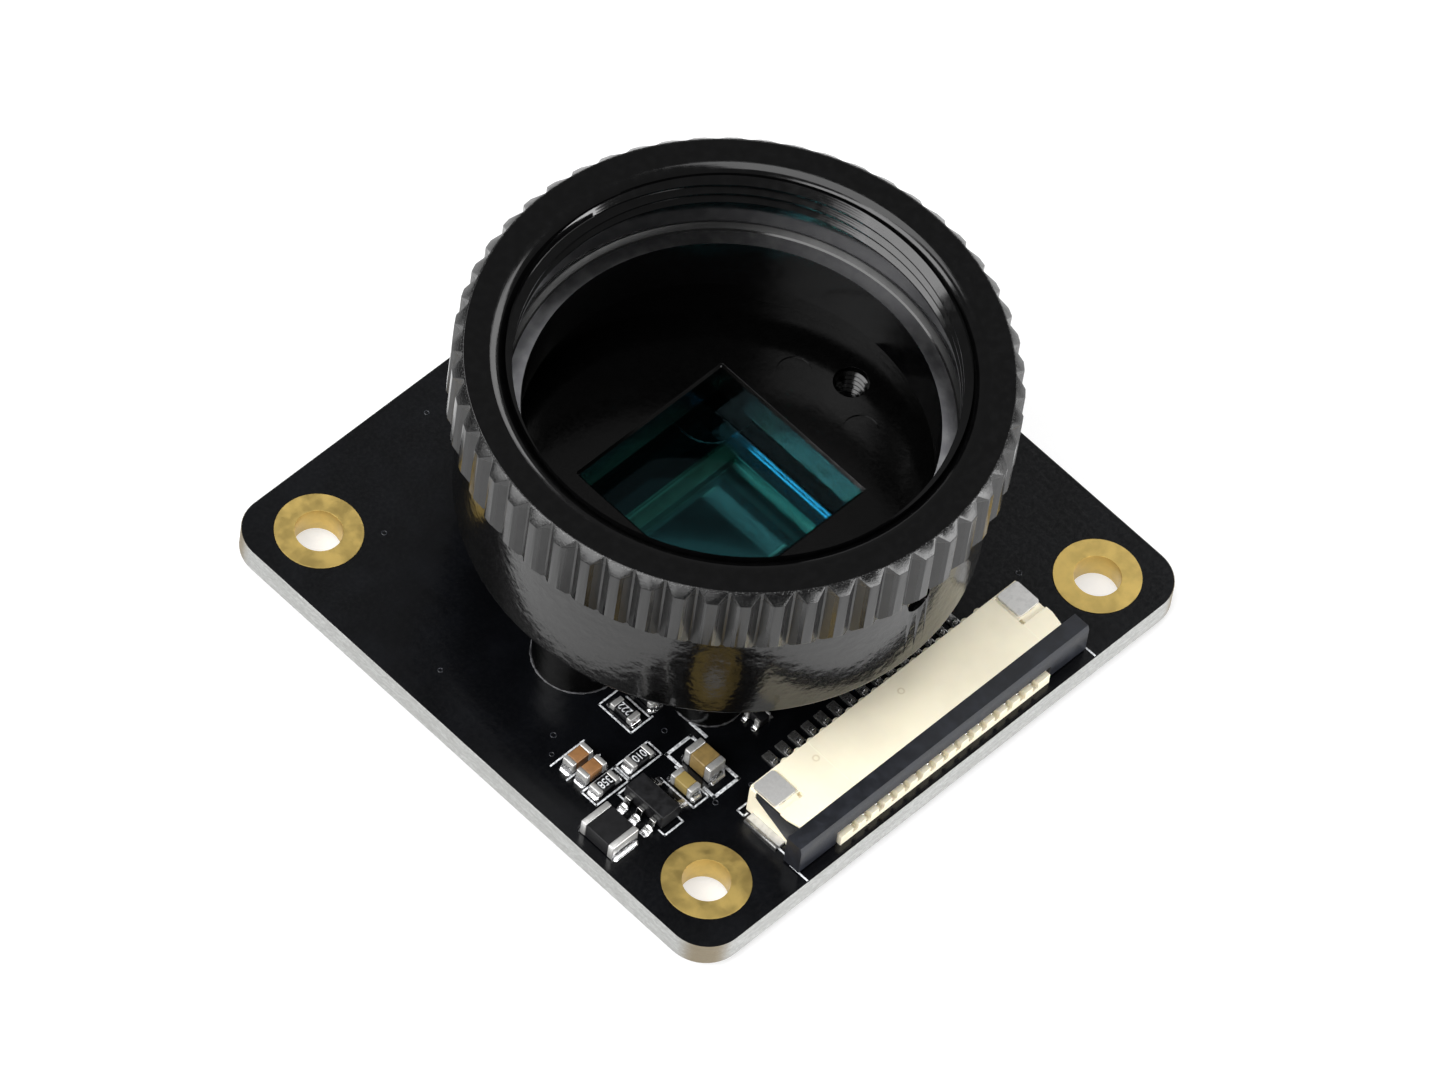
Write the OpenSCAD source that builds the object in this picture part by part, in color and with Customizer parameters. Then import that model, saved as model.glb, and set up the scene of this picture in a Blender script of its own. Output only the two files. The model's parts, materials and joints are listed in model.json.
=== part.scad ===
// Camera module: a square circuit board that carries an image sensor, a lens
// holder with a screw-in C-mount adapter ring, and a sliding-latch flex connector.
// +Z runs along the optical axis. The origin is on that axis, at the rear face of
// the board. The flex connector lies along the -Y edge.

/* [Circuit board] */
// Width of the board, along X
board_w = 38; // [37:0.5:60]
// Depth of the board, along Y
board_d = 38; // [37:0.5:60]
// Thickness of the board
board_t = 1.6; // [0.8:0.1:2.4]
// Radius of the board's corners
corner_r = 2.4; // [0.5:0.1:3.5]
// Distance from each board edge to the mounting hole centres
hole_inset = 3.75; // [3.4:0.05:4.2]
// Diameter of the plated mounting holes
hole_d = 2.7; // [2.2:0.1:3.2]
// Diameter of the gold land round each mounting hole
land_d = 5.0; // [4.4:0.1:5.6]
// Thickness of the gold plating
plating_t = 0.05; // [0.03:0.01:0.1]

/* [Lens mount] */
// Distance from the image plane to the seat of a CS-mount lens
cs_flange = 12.526; // [11:0.001:14]
// Distance from the image plane to the seat of a C-mount lens
c_flange = 17.526; // [16.5:0.001:20]
// Diameter of the lens thread
lens_thread_d = 25.4; // [24.8:0.1:26]

/* [Lens holder] */
// Outer diameter of the holder's cup
cup_d = 29.4; // [28.6:0.1:30.4]
// Depth of the threaded bore at the top of the cup
cup_thread_depth = 4.0; // [3.8:0.1:4.6]
// Diameter of the cup inside, below its thread
cup_inner_d = 25; // [24.4:0.1:25.4]
// Clear height between the board and the cup's floor
floor_gap = 5.9; // [5.6:0.1:6.4]
// Thickness of the cup's floor
floor_t = 1.1; // [0.9:0.1:1.5]
// Radius of the rounded lower edge of the cup
cup_edge_r = 0.4; // [0.2:0.05:0.8]
// Width of the square skirt that stands on the board
skirt_w = 17.4; // [17:0.1:18]
// Radius of the skirt's corners
skirt_r = 2.0; // [1:0.1:3]
// Thickness of the skirt's walls
skirt_wall = 1.6; // [1.2:0.1:1.9]
// Width of the square window in the floor
window_w = 11; // [9:0.1:11.6]
// Depth of the window, from the floor down to the filter
window_depth = 2.3; // [2:0.1:2.8]
// Size of the bevel round the window
window_bevel = 0.16; // [0.1:0.02:0.3]
// Distance between the two screw bosses
boss_spacing = 20.3; // [19.8:0.1:20.8]
// Diameter of the screw bosses
boss_d = 5.2; // [4.6:0.1:5.4]
// Diameter of the shallow ejector marks in the floor
ejector_d = 2.0; // [1.2:0.1:2.4]

/* [Adapter ring] */
// Outer diameter over the knurl
ring_d = 31.2; // [31:0.1:33]
// Number of knurl teeth
tooth_count = 54; // [36:1:64]
// Depth of the knurl grooves
tooth_depth = 0.52; // [0.3:0.01:0.6]
// Width of each tooth at its crest
tooth_crest = 0.6; // [0.5:0.01:0.8]
// Width of each groove at its root
groove_root = 0.14; // [0.08:0.01:0.2]
// Size of the bevels at the ends of the knurl
knurl_bevel = 0.6; // [0.3:0.05:0.8]
// Width of the bevel at the mouth of the lens thread
mouth_bevel = 0.6; // [0.3:0.05:0.9]
// Depth of the lens thread
lens_thread_depth = 4.85; // [4.2:0.05:4.9]
// Diameter of the clear bore through the ring's lower part
clear_bore_d = 23; // [21:0.1:23.4]
// Length of the ring's lower thread, which screws into the cup
ring_thread_l = 3.6; // [2.5:0.1:3.7]
// Radial running clearance of that thread in the cup
thread_fit = 0.15; // [0.05:0.01:0.25]
// Size of the bevel between the lens bore and its seat
seat_bevel = 0.35; // [0.1:0.05:0.5]

/* [Screws] */
// Thread diameter of the screws that hold the lens holder
screw_d = 2.0; // [1.6:0.1:2.2]
// Head diameter of those screws
screw_head_d = 3.8; // [3.4:0.1:4.4]
// Head height of those screws
screw_head_h = 0.5; // [0.4:0.05:0.8]
// Length of those screws under the head
screw_l = 5.0; // [4:0.5:6]
// Radial clearance of screws in their threaded holes
screw_fit = 0.03; // [0.02:0.01:0.05]
// Thread diameter of the set screw in the side of the cup
set_screw_d = 1.6; // [1.2:0.1:1.8]
// Length of the set screw
set_screw_l = 1.3; // [1:0.1:1.4]
// Depth of the set screw's centre below the cup's rim
set_screw_drop = 1.45; // [1:0.05:2]

/* [Optics] */
// Width of the square infrared filter
filter_w = 12.4; // [12:0.1:12.8]
// Thickness of the infrared filter
filter_t = 1.0; // [0.5:0.1:1.2]
// Gap round the filter in its pocket
filter_gap = 0.08; // [0.05:0.01:0.12]
// Width of the image sensor's package
sensor_w = 12.7; // [11:0.1:13.2]
// Depth of the image sensor's package
sensor_d = 8.8; // [8:0.1:11]
// Width of the sensor die
die_w = 7.6; // [6:0.1:8]
// Depth of the sensor die
die_d = 5.5; // [4.5:0.1:6]
// Thickness of the sensor die
die_t = 0.3; // [0.2:0.02:0.4]
// Thickness of the package's base
package_base_t = 0.32; // [0.25:0.01:0.4]
// Thickness of the package's wall
package_wall = 1.15; // [0.8:0.05:1.4]
// Gap between the die and the cover glass
cover_gap = 0.38; // [0.3:0.02:0.6]
// Thickness of the cover glass
cover_t = 0.4; // [0.3:0.05:0.6]

/* [Flex connector] */
// Number of contacts
contact_count = 15; // [13:1:17]
// Spacing of the contacts
contact_pitch = 1.0; // [0.95:0.05:1.05]
// Width of each contact
contact_w = 0.3; // [0.2:0.02:0.34]
// Thickness of the contact strip
contact_t = 0.2; // [0.14:0.02:0.22]
// Height of the connector housing
housing_h = 2.3; // [2.2:0.05:2.8]
// Depth of the housing, without its lip and comb
housing_d = 3.75; // [3.7:0.05:4.4]
// Housing beyond the outer contacts, on each side
housing_side = 3.35; // [3.2:0.05:3.8]
// Height of the housing's lip in front of the latch
lip_h = 0.8; // [0.7:0.05:0.9]
// Distance from the board's edge to the lip
lip_inset = 0.55; // [0.3:0.05:1]
// Depth of the lip
lip_d = 1.35; // [1.2:0.05:1.6]
// Height of the slot that takes the flex cable
mouth_h = 0.4; // [0.35:0.05:0.45]
// Distance that the latch slides out
latch_travel = 1.2; // [0.8:0.1:1.3]
// Length of the finger grips at the latch's ends
latch_grip = 0.85; // [0.5:0.05:1]
// Thickness of the hold-down tabs
tab_t = 0.2; // [0.14:0.01:0.24]

/* [Board parts] */
// Length of the small chip parts
chip_l = 1.6; // [1.5:0.05:1.7]
// Width of the small chip parts
chip_w = 0.8; // [0.7:0.05:0.85]
// Height of the small capacitors
capacitor_h = 0.8; // [0.6:0.05:0.9]
// Height of the resistors
resistor_h = 0.45; // [0.35:0.05:0.6]
// Length of the end caps on the small chip parts
chip_cap = 0.33; // [0.25:0.01:0.4]
// Length of the large capacitor
bulk_l = 2.0; // [1.8:0.05:2.2]
// Width of the large capacitor
bulk_w = 1.25; // [1.1:0.05:1.3]
// Height of the large capacitor
bulk_h = 1.2; // [0.9:0.05:1.4]
// Length of the inductor
inductor_l = 2.5; // [2.3:0.05:2.6]
// Width of the inductor
inductor_w = 2.0; // [1.8:0.05:2.1]
// Height of the inductor
inductor_h = 1.1; // [0.9:0.05:1.4]
// Length of the regulator's body
regulator_l = 2.9; // [2.8:0.05:3]
// Width of the regulator's body
regulator_w = 1.5; // [1.4:0.05:1.6]
// Height of the regulator
regulator_h = 1.1; // [0.9:0.05:1.3]
// Spacing of the regulator's leads
lead_pitch = 0.95; // [0.85:0.05:1]
// Distance between the tips of the regulator's leads
lead_span = 2.75; // [2.6:0.05:2.9]
// Thickness of the solder under each part
solder_t = 0.05; // [0.03:0.01:0.08]

/* [Hidden] */
$fn = 96;
cut = 0.01;

// Heights, measured from the board's rear face
board_top = board_t;
part_base = board_top + solder_t;
image_z = part_base + package_base_t + die_t;
cup_top = image_z + cs_flange;
ring_top = image_z + c_flange;
floor_low = board_top + floor_gap;
floor_top = floor_low + floor_t;
filter_top = floor_top - window_depth;
filter_low = filter_top - filter_t;
cover_low = image_z + cover_gap;

// Corners of the board and its holes
edge_x = board_w / 2;
edge_y = board_d / 2;
hole_x = edge_x - hole_inset;
hole_y = edge_y - hole_inset;
drill_d = hole_d + 2 * plating_t;
board_screw_fit = 0.1;

// Connector: the front of its lip, the front of its housing and its rear
lip_front = -edge_y + lip_inset;
housing_front = lip_front + lip_d;
housing_rear = housing_front + housing_d;
contact_span = (contact_count - 1) * contact_pitch;
housing_half = contact_span / 2 + housing_side;
slot_side = 1.05;
slot_half = contact_span / 2 + slot_side;
lip_half = slot_half + 0.1;
latch_half = housing_half + latch_grip;
bar_front = lip_front + 0.2;
bar_low = lip_h + mouth_h;
roof_t = 0.5;
cavity_top = housing_h - roof_t;
cavity_rear = housing_rear - 0.95;
arm_w = 0.45;
arm_grip = 2.0;
arm_gap = 0.06;
arm_rear = housing_front + latch_travel + arm_grip;
arm_top = housing_h - 0.27;
arm_tip = 0.35;
latch_low = 0.15;
ear_taper_w = 0.2;
ear_taper_d = 0.9;
comb_reach = 0.3;
groove_w = contact_w + 0.1;
groove_floor = 0.35;
foot_reach = 1.15;
pad_reach = 1.85;
tab_w = 1.6;
tab_d = 1.8;
tab_inset = 0.07;
tab_corner_r = 0.18;
tab_seat = 0.08;
tab_foot = 0.45;
tab_foot_d = 2.5;
tab_foot_y = housing_rear - 0.5 - tab_foot_d;
tab_leg_d = 1.4;
tab_rear = housing_rear - 0.12;
pocket_side_gap = 0.18;
pocket_shelf = 0.44;
corner_slot = [0.27, 0.35];
corner_slot_h = 0.4;
tab_slot_gap = 0.02;
tab_leg_x = housing_half - arm_w - arm_gap - tab_t - 0.1;
tab_leg_y = tab_foot_y + tab_foot_d - tab_leg_d;

// Lead-in bevel of the ring's lower thread
thread_lead = 0.3;

// Small sizes of the board parts
bulk_cap = 0.45;
inductor_cap = 0.4;
lead_w = 0.4;
lead_t = 0.14;
pad_reach_chip = 0.28;
line_filter_l = 1.2;
line_filter_w = 0.95;
line_filter_h = 0.6;
terminal_w = 0.32;
terminal_t = 0.15;
terminal_x = line_filter_l / 2 - 0.2;

// Places of the parts near the board's corner, measured from that corner
corner_x = -edge_x;
corner_y = -edge_y;
inductor_in = 1.73;
inductor_up = 9.33;
regulator_in = 4.85;
regulator_up = 9.15;
output_capacitor_in = 7.1;
output_capacitor_up = 8.85;
bulk_in = 8.85;
row_in = 3.83;
row_up = 11.8;
row_step = 1.06;
resistor_step = 2.62;
inductor_at = [corner_x + inductor_in, corner_y + inductor_up];
regulator_at = [corner_x + regulator_in, corner_y + regulator_up];
output_capacitor_at = [corner_x + output_capacitor_in, corner_y + output_capacitor_up];
bulk_at = [corner_x + bulk_in, corner_y + regulator_up];
resistor_row_y = corner_y + row_up;
low_capacitor_y = resistor_row_y + row_step;
high_capacitor_y = low_capacitor_y + row_step;
row_x = corner_x + row_in;

// Places of the parts that stand beside the skirt
skirt_half = skirt_w / 2;
beside_boss = 1.1;
beside_skirt = 0.25;
beside_step = 1.6;
beside_y = -boss_d / 2 - beside_boss - chip_l / 2;
near_x = -skirt_half - beside_skirt - chip_w / 2;
far_x = near_x - beside_step;
line_filter_in = 3.0;
filter_gap_y = 0.2;
line_filter_at = [line_filter_in - skirt_half, -skirt_half - filter_gap_y - line_filter_l / 2];

// Chip parts as [x, y, turn]
capacitors = [
    [row_x, low_capacitor_y, 0],
    [row_x, high_capacitor_y, 0],
    [output_capacitor_at[0], output_capacitor_at[1], 90]
];
resistors = [
    [row_x, resistor_row_y, 0],
    [row_x + resistor_step, resistor_row_y, 0],
    [far_x, beside_y, 90],
    [near_x, beside_y, 90]
];

// The regulator's leads as [side of the body, place along it]
regulator_lead_places = [[-1, -1], [-1, 0], [-1, 1], [1, -1], [1, 1]];

// A box centred in X and Y that stands on z
module block(size, z) {
    translate([-size[0] / 2, -size[1] / 2, z]) cube(size);
}

// A square outline with rounded corners
module rounded_square(w, d, r) {
    union() {
        square([w - 2 * r, d], center = true);
        square([w, d - 2 * r], center = true);
        for (x = [-1, 1], y = [-1, 1]) {
            translate([x * (w / 2 - r), y * (d / 2 - r)]) circle(r = r);
        }
    }
}

// Puts its children at the four mounting holes
module at_holes() {
    for (x = [-1, 1], y = [-1, 1]) {
        translate([x * hole_x, y * hole_y, 0]) children();
    }
}

// Puts its children at the two screw bosses
module at_bosses() {
    for (x = [-1, 1]) {
        translate([x * boss_spacing / 2, 0, 0]) children();
    }
}

// Puts its children at each contact
module at_contacts() {
    for (i = [0 : contact_count - 1]) {
        translate([i * contact_pitch - contact_span / 2, 0, 0]) children();
    }
}

// Puts its children at each place of a list of [x, y, turn]
module at_places(places) {
    for (p = places) {
        translate([p[0], p[1], 0]) rotate([0, 0, p[2]]) children();
    }
}

// An outline in Y and Z, made w wide and centred in X
module side_profile(points, w) {
    translate([-w / 2, 0, 0]) rotate([90, 0, 90]) linear_extrude(height = w) polygon(points);
}

module circuit_board() {
    color([0.04, 0.04, 0.05])
    difference() {
        linear_extrude(height = board_t) rounded_square(board_w, board_d, corner_r);
        at_holes() translate([0, 0, -1]) cylinder(d = drill_d, h = board_t + 2);
        at_bosses() translate([0, 0, -1]) cylinder(d = screw_d + 2 * board_screw_fit, h = board_t + 2);
    }
}

// One plated hole: a barrel through the board with a land on each face
module plated_hole() {
    rotate_extrude()
    polygon([
        [hole_d / 2, -plating_t],
        [land_d / 2, -plating_t],
        [land_d / 2, 0],
        [drill_d / 2, 0],
        [drill_d / 2, board_t],
        [land_d / 2, board_t],
        [land_d / 2, board_t + plating_t],
        [hole_d / 2, board_t + plating_t]
    ]);
}

module mounting_lands() {
    color([0.83, 0.67, 0.25]) at_holes() plated_hole();
}

// The cup as a turned shape: floor, wall, threaded bore and rounded lower edge
module cup() {
    rotate_extrude()
    difference() {
        union() {
            translate([0, floor_low]) square([cup_d / 2 - cup_edge_r, cup_top - floor_low]);
            translate([0, floor_low + cup_edge_r]) square([cup_d / 2, cup_top - floor_low - cup_edge_r]);
            translate([cup_d / 2 - cup_edge_r, floor_low + cup_edge_r]) circle(r = cup_edge_r);
        }
        translate([-1, floor_top]) square([1 + cup_inner_d / 2, cup_top]);
        translate([-1, cup_top - cup_thread_depth]) square([1 + lens_thread_d / 2 + thread_fit, cup_top]);
    }
}

// The bevel round the top of the window
module window_bevel_cut() {
    for (a = [0 : 90 : 270]) {
        rotate([0, 0, a]) translate([window_w / 2, 0, floor_top]) rotate([0, 45, 0])
        cube([window_bevel * sqrt(2), window_w + window_bevel, window_bevel * sqrt(2)], center = true);
    }
}

module lens_holder() {
    inner = skirt_w - 2 * skirt_wall;
    pocket = filter_w + 2 * filter_gap;
    tapped = screw_d + 2 * screw_fit;
    mark_at = [8.3, 2.6];
    color([0.06, 0.06, 0.065])
    difference() {
        union() {
            cup();
            translate([0, 0, board_top]) linear_extrude(height = floor_gap + cut)
            rounded_square(skirt_w, skirt_w, skirt_r);
            at_bosses() translate([0, 0, board_top]) cylinder(d = boss_d, h = floor_gap + cut);
        }
        translate([0, 0, board_top - cut]) block([inner, inner, filter_low - board_top + cut], 0);
        block([pocket, pocket, filter_t + cut], filter_low - cut);
        block([window_w, window_w, window_depth + 1], filter_top - cut);
        window_bevel_cut();
        at_bosses() translate([0, 0, board_top - 1]) cylinder(d = tapped, h = floor_top - board_top + 2);
        for (x = [-1, 1], y = [-1, 1]) {
            translate([x * mark_at[0], y * mark_at[1], floor_top - 0.08]) cylinder(d = ejector_d, h = 1);
        }
        translate([0, 0, cup_top - set_screw_drop]) rotate([90, 0, 0])
        cylinder(d = set_screw_d + 2 * screw_fit, h = cup_d);
    }
}

// Half the angle that a width spans at a radius
function half_angle(width, radius) = asin(width / 2 / radius);

// Straight knurl: each tooth's crest runs on past the rim, which is turned to size
function knurl_outline() =
    let(
        crest_r = ring_d / 2,
        root_r = crest_r - tooth_depth,
        step = 360 / tooth_count,
        crest = half_angle(tooth_crest, crest_r),
        root = step / 2 - half_angle(groove_root, root_r),
        over = 0.3,
        lean = (root - crest) / tooth_depth,
        far = crest - lean * over
    )
    [
        for (i = [0 : tooth_count - 1])
        for (p = [[-root, root_r], [-far, crest_r + over], [far, crest_r + over], [root, root_r]])
        [p[1] * cos(i * step + p[0]), p[1] * sin(i * step + p[0])]
    ];

module adapter_ring() {
    outer = ring_d / 2;
    bore = lens_thread_d / 2;
    rim = bore + mouth_bevel;
    seat = ring_top - lens_thread_depth;
    color([0.05, 0.05, 0.055])
    union() {
        intersection() {
            translate([0, 0, cup_top]) linear_extrude(height = ring_top - cup_top) polygon(knurl_outline());
            rotate_extrude()
            polygon([
                [clear_bore_d / 2, cup_top],
                [outer - knurl_bevel * 0.7, cup_top],
                [outer, cup_top + knurl_bevel],
                [outer, ring_top - knurl_bevel],
                [outer - knurl_bevel * 0.9, ring_top],
                [rim, ring_top],
                [bore, ring_top - mouth_bevel * 0.8],
                [bore, seat + seat_bevel],
                [bore - seat_bevel, seat],
                [clear_bore_d / 2, seat]
            ]);
        }
        rotate_extrude()
        polygon([
            [clear_bore_d / 2, cup_top - ring_thread_l],
            [bore - thread_lead, cup_top - ring_thread_l],
            [bore, cup_top - ring_thread_l + thread_lead],
            [bore, cup_top],
            [clear_bore_d / 2, cup_top]
        ]);
    }
}

// Thin-head screw with a cross recess, fitted from the rear of the board
module holder_screw() {
    recess_w = screw_d * 0.24;
    recess_l = screw_d * 0.9;
    difference() {
        union() {
            translate([0, 0, -screw_head_h]) cylinder(d = screw_head_d, h = screw_head_h);
            cylinder(d = screw_d, h = screw_l);
        }
        for (a = [0, 90]) {
            rotate([0, 0, a]) block([recess_l, recess_w, screw_head_h], -screw_head_h - 0.1);
        }
    }
}

module holder_screws() {
    color([0.12, 0.12, 0.13]) at_bosses() holder_screw();
}

module set_screw() {
    inner = lens_thread_d / 2 + thread_fit + 0.05;
    socket_r = set_screw_d * 0.28;
    color([0.1, 0.1, 0.1])
    translate([0, -inner, cup_top - set_screw_drop]) rotate([90, 0, 0])
    difference() {
        cylinder(d = set_screw_d, h = set_screw_l);
        translate([0, 0, set_screw_l * 0.4]) cylinder(r = socket_r, h = set_screw_l, $fn = 6);
    }
}

module ir_filter() {
    color([0.1, 0.45, 0.5, 0.5]) block([filter_w, filter_w, filter_t], filter_low);
}

module sensor_package() {
    base_top = part_base + package_base_t;
    color([0.1, 0.3, 0.25])
    difference() {
        block([sensor_w, sensor_d, cover_low - part_base], part_base);
        block([sensor_w - 2 * package_wall, sensor_d - 2 * package_wall, cover_low], base_top);
    }
}

module sensor_die() {
    color([0.05, 0.2, 0.22]) block([die_w, die_d, die_t], image_z - die_t);
}

module sensor_cover() {
    color([0.6, 0.9, 0.9, 0.4]) block([sensor_w - 0.3, sensor_d - 0.3, cover_t], cover_low);
}

// The wedge-shaped space that a latch arm fills, w wide beside x
module arm_wedge(x, w, grow) {
    front = housing_front - cut;
    translate([x + w / 2, 0, board_top])
    side_profile([
        [front, latch_low - grow],
        [arm_rear + grow, arm_top - arm_tip - grow],
        [arm_rear + grow, arm_top + grow],
        [front, arm_top + grow]
    ], w);
}

module flex_housing() {
    comb_h = housing_h * 0.8;
    pocket_x = housing_half - tab_inset - tab_w - pocket_side_gap;
    pocket_front = tab_rear - tab_d - pocket_shelf;
    taper_x = housing_half - ear_taper_w;
    taper_y = housing_front + ear_taper_d;
    color([0.93, 0.9, 0.78])
    difference() {
        union() {
            translate([-housing_half, housing_front, board_top]) cube([2 * housing_half, housing_d, housing_h]);
            translate([-lip_half, lip_front, board_top]) cube([2 * lip_half, lip_d + cut, lip_h]);
            for (i = [0 : contact_count]) {
                translate([(i - 0.5) * contact_pitch - contact_span / 2, housing_rear, board_top])
                cylinder(r = comb_reach, h = comb_h);
            }
        }
        // the slot for the flex cable and the latch's tongue
        translate([-slot_half, housing_front - cut, board_top + lip_h])
        cube([2 * slot_half, cavity_rear - housing_front + cut, cavity_top - lip_h]);
        // a groove for each contact, open at the rear
        at_contacts() {
            translate([-groove_w / 2, lip_front - 1, board_top + groove_floor])
            cube([groove_w, housing_d + lip_d + 1.3, lip_h]);
            translate([-groove_w / 2, housing_rear - 0.6, board_top - 1]) cube([groove_w, 2, lip_h + 1]);
        }
        // recesses for the latch's arms
        arm_wedge(housing_half - arm_w - arm_gap, 1, arm_gap);
        mirror([1, 0, 0]) arm_wedge(housing_half - arm_w - arm_gap, 1, arm_gap);
        for (side = [0, 1]) {
            mirror([side, 0, 0]) {
                // the slot for a tab's leg and foot
                translate([tab_leg_x - tab_slot_gap, tab_leg_y - tab_slot_gap, board_top - 1])
                cube([tab_t + 2 * tab_slot_gap, tab_leg_d + 2 * tab_slot_gap, housing_h + 2]);
                translate([tab_leg_x - tab_slot_gap, tab_foot_y - tab_slot_gap, board_top - 1])
                cube([housing_half, tab_foot_d + 2 * tab_slot_gap, 1 + tab_t + tab_slot_gap]);
                // the pocket that the tab's plate lies in, and the set-back wall beside it
                translate([pocket_x, pocket_front, board_top + housing_h - tab_seat])
                cube([housing_half, tab_d + pocket_shelf, 1]);
                translate([housing_half - tab_inset, pocket_front, board_top + arm_top + arm_gap])
                cube([1, housing_d, 1]);
                // a small moulding slot in the pocket's inner corner
                translate([pocket_x, pocket_front, board_top + housing_h - corner_slot_h])
                cube([corner_slot[0], corner_slot[1], 1]);
                // the ear in front of the pocket tapers towards the latch
                translate([0, 0, board_top + arm_top])
                linear_extrude(height = 1)
                polygon([
                    [housing_half, taper_y],
                    [housing_half + 1, taper_y],
                    [housing_half + 1, housing_front - 1],
                    [taper_x, housing_front - 1],
                    [taper_x, housing_front]
                ]);
            }
        }
    }
}

// The sliding latch: bar, finger grips, tongue and side arms
module flex_latch() {
    bar_h = housing_h - bar_low;
    grip_in = lip_half + 0.15;
    tongue_half = slot_half - 0.1;
    color([0.08, 0.09, 0.12])
    union() {
        difference() {
            translate([0, 0, board_top])
            side_profile([
                [housing_front, latch_low],
                [housing_front, housing_h],
                [bar_front + 0.12, housing_h],
                [bar_front, housing_h - 0.3],
                [bar_front, latch_low]
            ], 2 * latch_half);
            translate([-grip_in, bar_front - 1, board_top - 1]) cube([2 * grip_in, lip_d + 2, 1 + bar_low]);
        }
        translate([-tongue_half, housing_front - cut, board_top + bar_low])
        cube([2 * tongue_half, cavity_rear - housing_front - 0.4, cavity_top - bar_low - 0.05]);
        for (side = [0, 1]) {
            mirror([side, 0, 0]) arm_wedge(housing_half - arm_w, arm_w, 0);
        }
    }
}

// One contact: a foot on the board, a stem and a sprung beam in its groove
module contact() {
    foot_end = housing_rear + foot_reach;
    beam_low = groove_floor;
    beam_high = beam_low + contact_t;
    side_profile([
        [foot_end, 0.02],
        [foot_end, contact_t],
        [housing_rear + 0.35, contact_t + 0.05],
        [housing_rear + 0.05, lip_h - 0.1],
        [housing_rear - 0.5, lip_h - 0.1],
        [housing_rear - 0.8, beam_high],
        [housing_front + 1.3, beam_high],
        [housing_front + 0.8, lip_h + 0.1],
        [housing_front + 0.55, lip_h + 0.1],
        [housing_front, beam_high],
        [lip_front + 0.4, beam_high],
        [lip_front + 0.4, beam_low],
        [housing_rear - 0.55, beam_low],
        [housing_rear - 0.55, 0.02]
    ], contact_w);
}

module flex_contacts() {
    color([0.75, 0.75, 0.76]) translate([0, 0, board_top]) at_contacts() contact();
}

// One hold-down tab: a folded strip with a top plate, a leg and a soldered foot
module hold_down_tab() {
    plate_low = housing_h - tab_seat;
    union() {
        translate([housing_half - tab_inset - tab_w / 2, tab_rear - tab_d / 2, plate_low])
        linear_extrude(height = tab_t) rounded_square(tab_w, tab_d, tab_corner_r);
        translate([tab_leg_x, tab_leg_y, 0]) cube([tab_t, tab_leg_d, plate_low + cut]);
        translate([tab_leg_x, tab_foot_y, 0]) cube([housing_half + tab_foot - tab_leg_x, tab_foot_d, tab_t]);
    }
}

module flex_tabs() {
    color([0.7, 0.69, 0.66]) translate([0, 0, board_top])
    for (side = [0, 1]) {
        mirror([side, 0, 0]) hold_down_tab();
    }
}

module flex_solder() {
    pad_w = 0.6;
    pad_h = 0.12;
    side_gap = 0.04;
    color([0.6, 0.6, 0.62]) {
        at_contacts()
        difference() {
            translate([-pad_w / 2, housing_rear + comb_reach + side_gap, board_top])
            cube([pad_w, pad_reach - comb_reach, pad_h]);
            translate([-contact_w / 2 - 0.01, housing_rear - 1, board_top - 1])
            cube([contact_w + 0.02, foot_reach + 1.02, 2]);
        }
        for (side = [0, 1]) {
            mirror([side, 0, 0])
            translate([housing_half + tab_foot, tab_foot_y, board_top])
            cube([0.25, tab_foot_d, tab_t]);
        }
    }
}

// A body between two end caps, along X, that stands on the solder
module chip_body(l, w, h, end) {
    block([l - 2 * end, w - 0.04, h - 0.04], part_base + 0.02);
}

// The two end caps of a chip part
module chip_ends(l, w, h, end) {
    for (x = [-1, 1]) {
        translate([x * (l - end) / 2, 0, 0]) block([end, w, h], part_base);
    }
}

// The solder under and beyond the end caps of a chip part
module chip_pads(l, w, end) {
    reach = pad_reach_chip;
    fillet = reach * 0.7;
    for (x = [-1, 1]) {
        translate([x * (l - end + reach) / 2, 0, 0]) block([end + reach, w, solder_t], board_top);
        translate([x * (l + fillet) / 2, 0, 0]) block([fillet, w - 0.1, solder_t + 0.25], board_top);
    }
}

module capacitor_bodies() {
    color([0.72, 0.5, 0.28]) at_places(capacitors) chip_body(chip_l, chip_w, capacitor_h, chip_cap);
}

module capacitor_ends() {
    color([0.8, 0.8, 0.8]) at_places(capacitors) chip_ends(chip_l, chip_w, capacitor_h, chip_cap);
}

module resistor_bodies() {
    color([0.08, 0.08, 0.09]) at_places(resistors) chip_body(chip_l, chip_w, resistor_h, chip_cap);
}

module resistor_ends() {
    color([0.8, 0.8, 0.8]) at_places(resistors) chip_ends(chip_l, chip_w, resistor_h, chip_cap);
}

module at_bulk() {
    translate([bulk_at[0], bulk_at[1], 0]) rotate([0, 0, 90]) children();
}

module bulk_capacitor_body() {
    color([0.72, 0.56, 0.3]) at_bulk() chip_body(bulk_l, bulk_w, bulk_h, bulk_cap);
}

module bulk_capacitor_ends() {
    color([0.75, 0.75, 0.76]) at_bulk() chip_ends(bulk_l, bulk_w, bulk_h, bulk_cap);
}

module at_inductor() {
    translate([inductor_at[0], inductor_at[1], 0]) rotate([0, 0, 90]) children();
}

module inductor_body() {
    color([0.14, 0.14, 0.15]) at_inductor() chip_body(inductor_l, inductor_w, inductor_h, inductor_cap);
}

module inductor_ends() {
    color([0.68, 0.68, 0.62]) at_inductor() chip_ends(inductor_l, inductor_w, inductor_h, inductor_cap);
}

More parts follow.
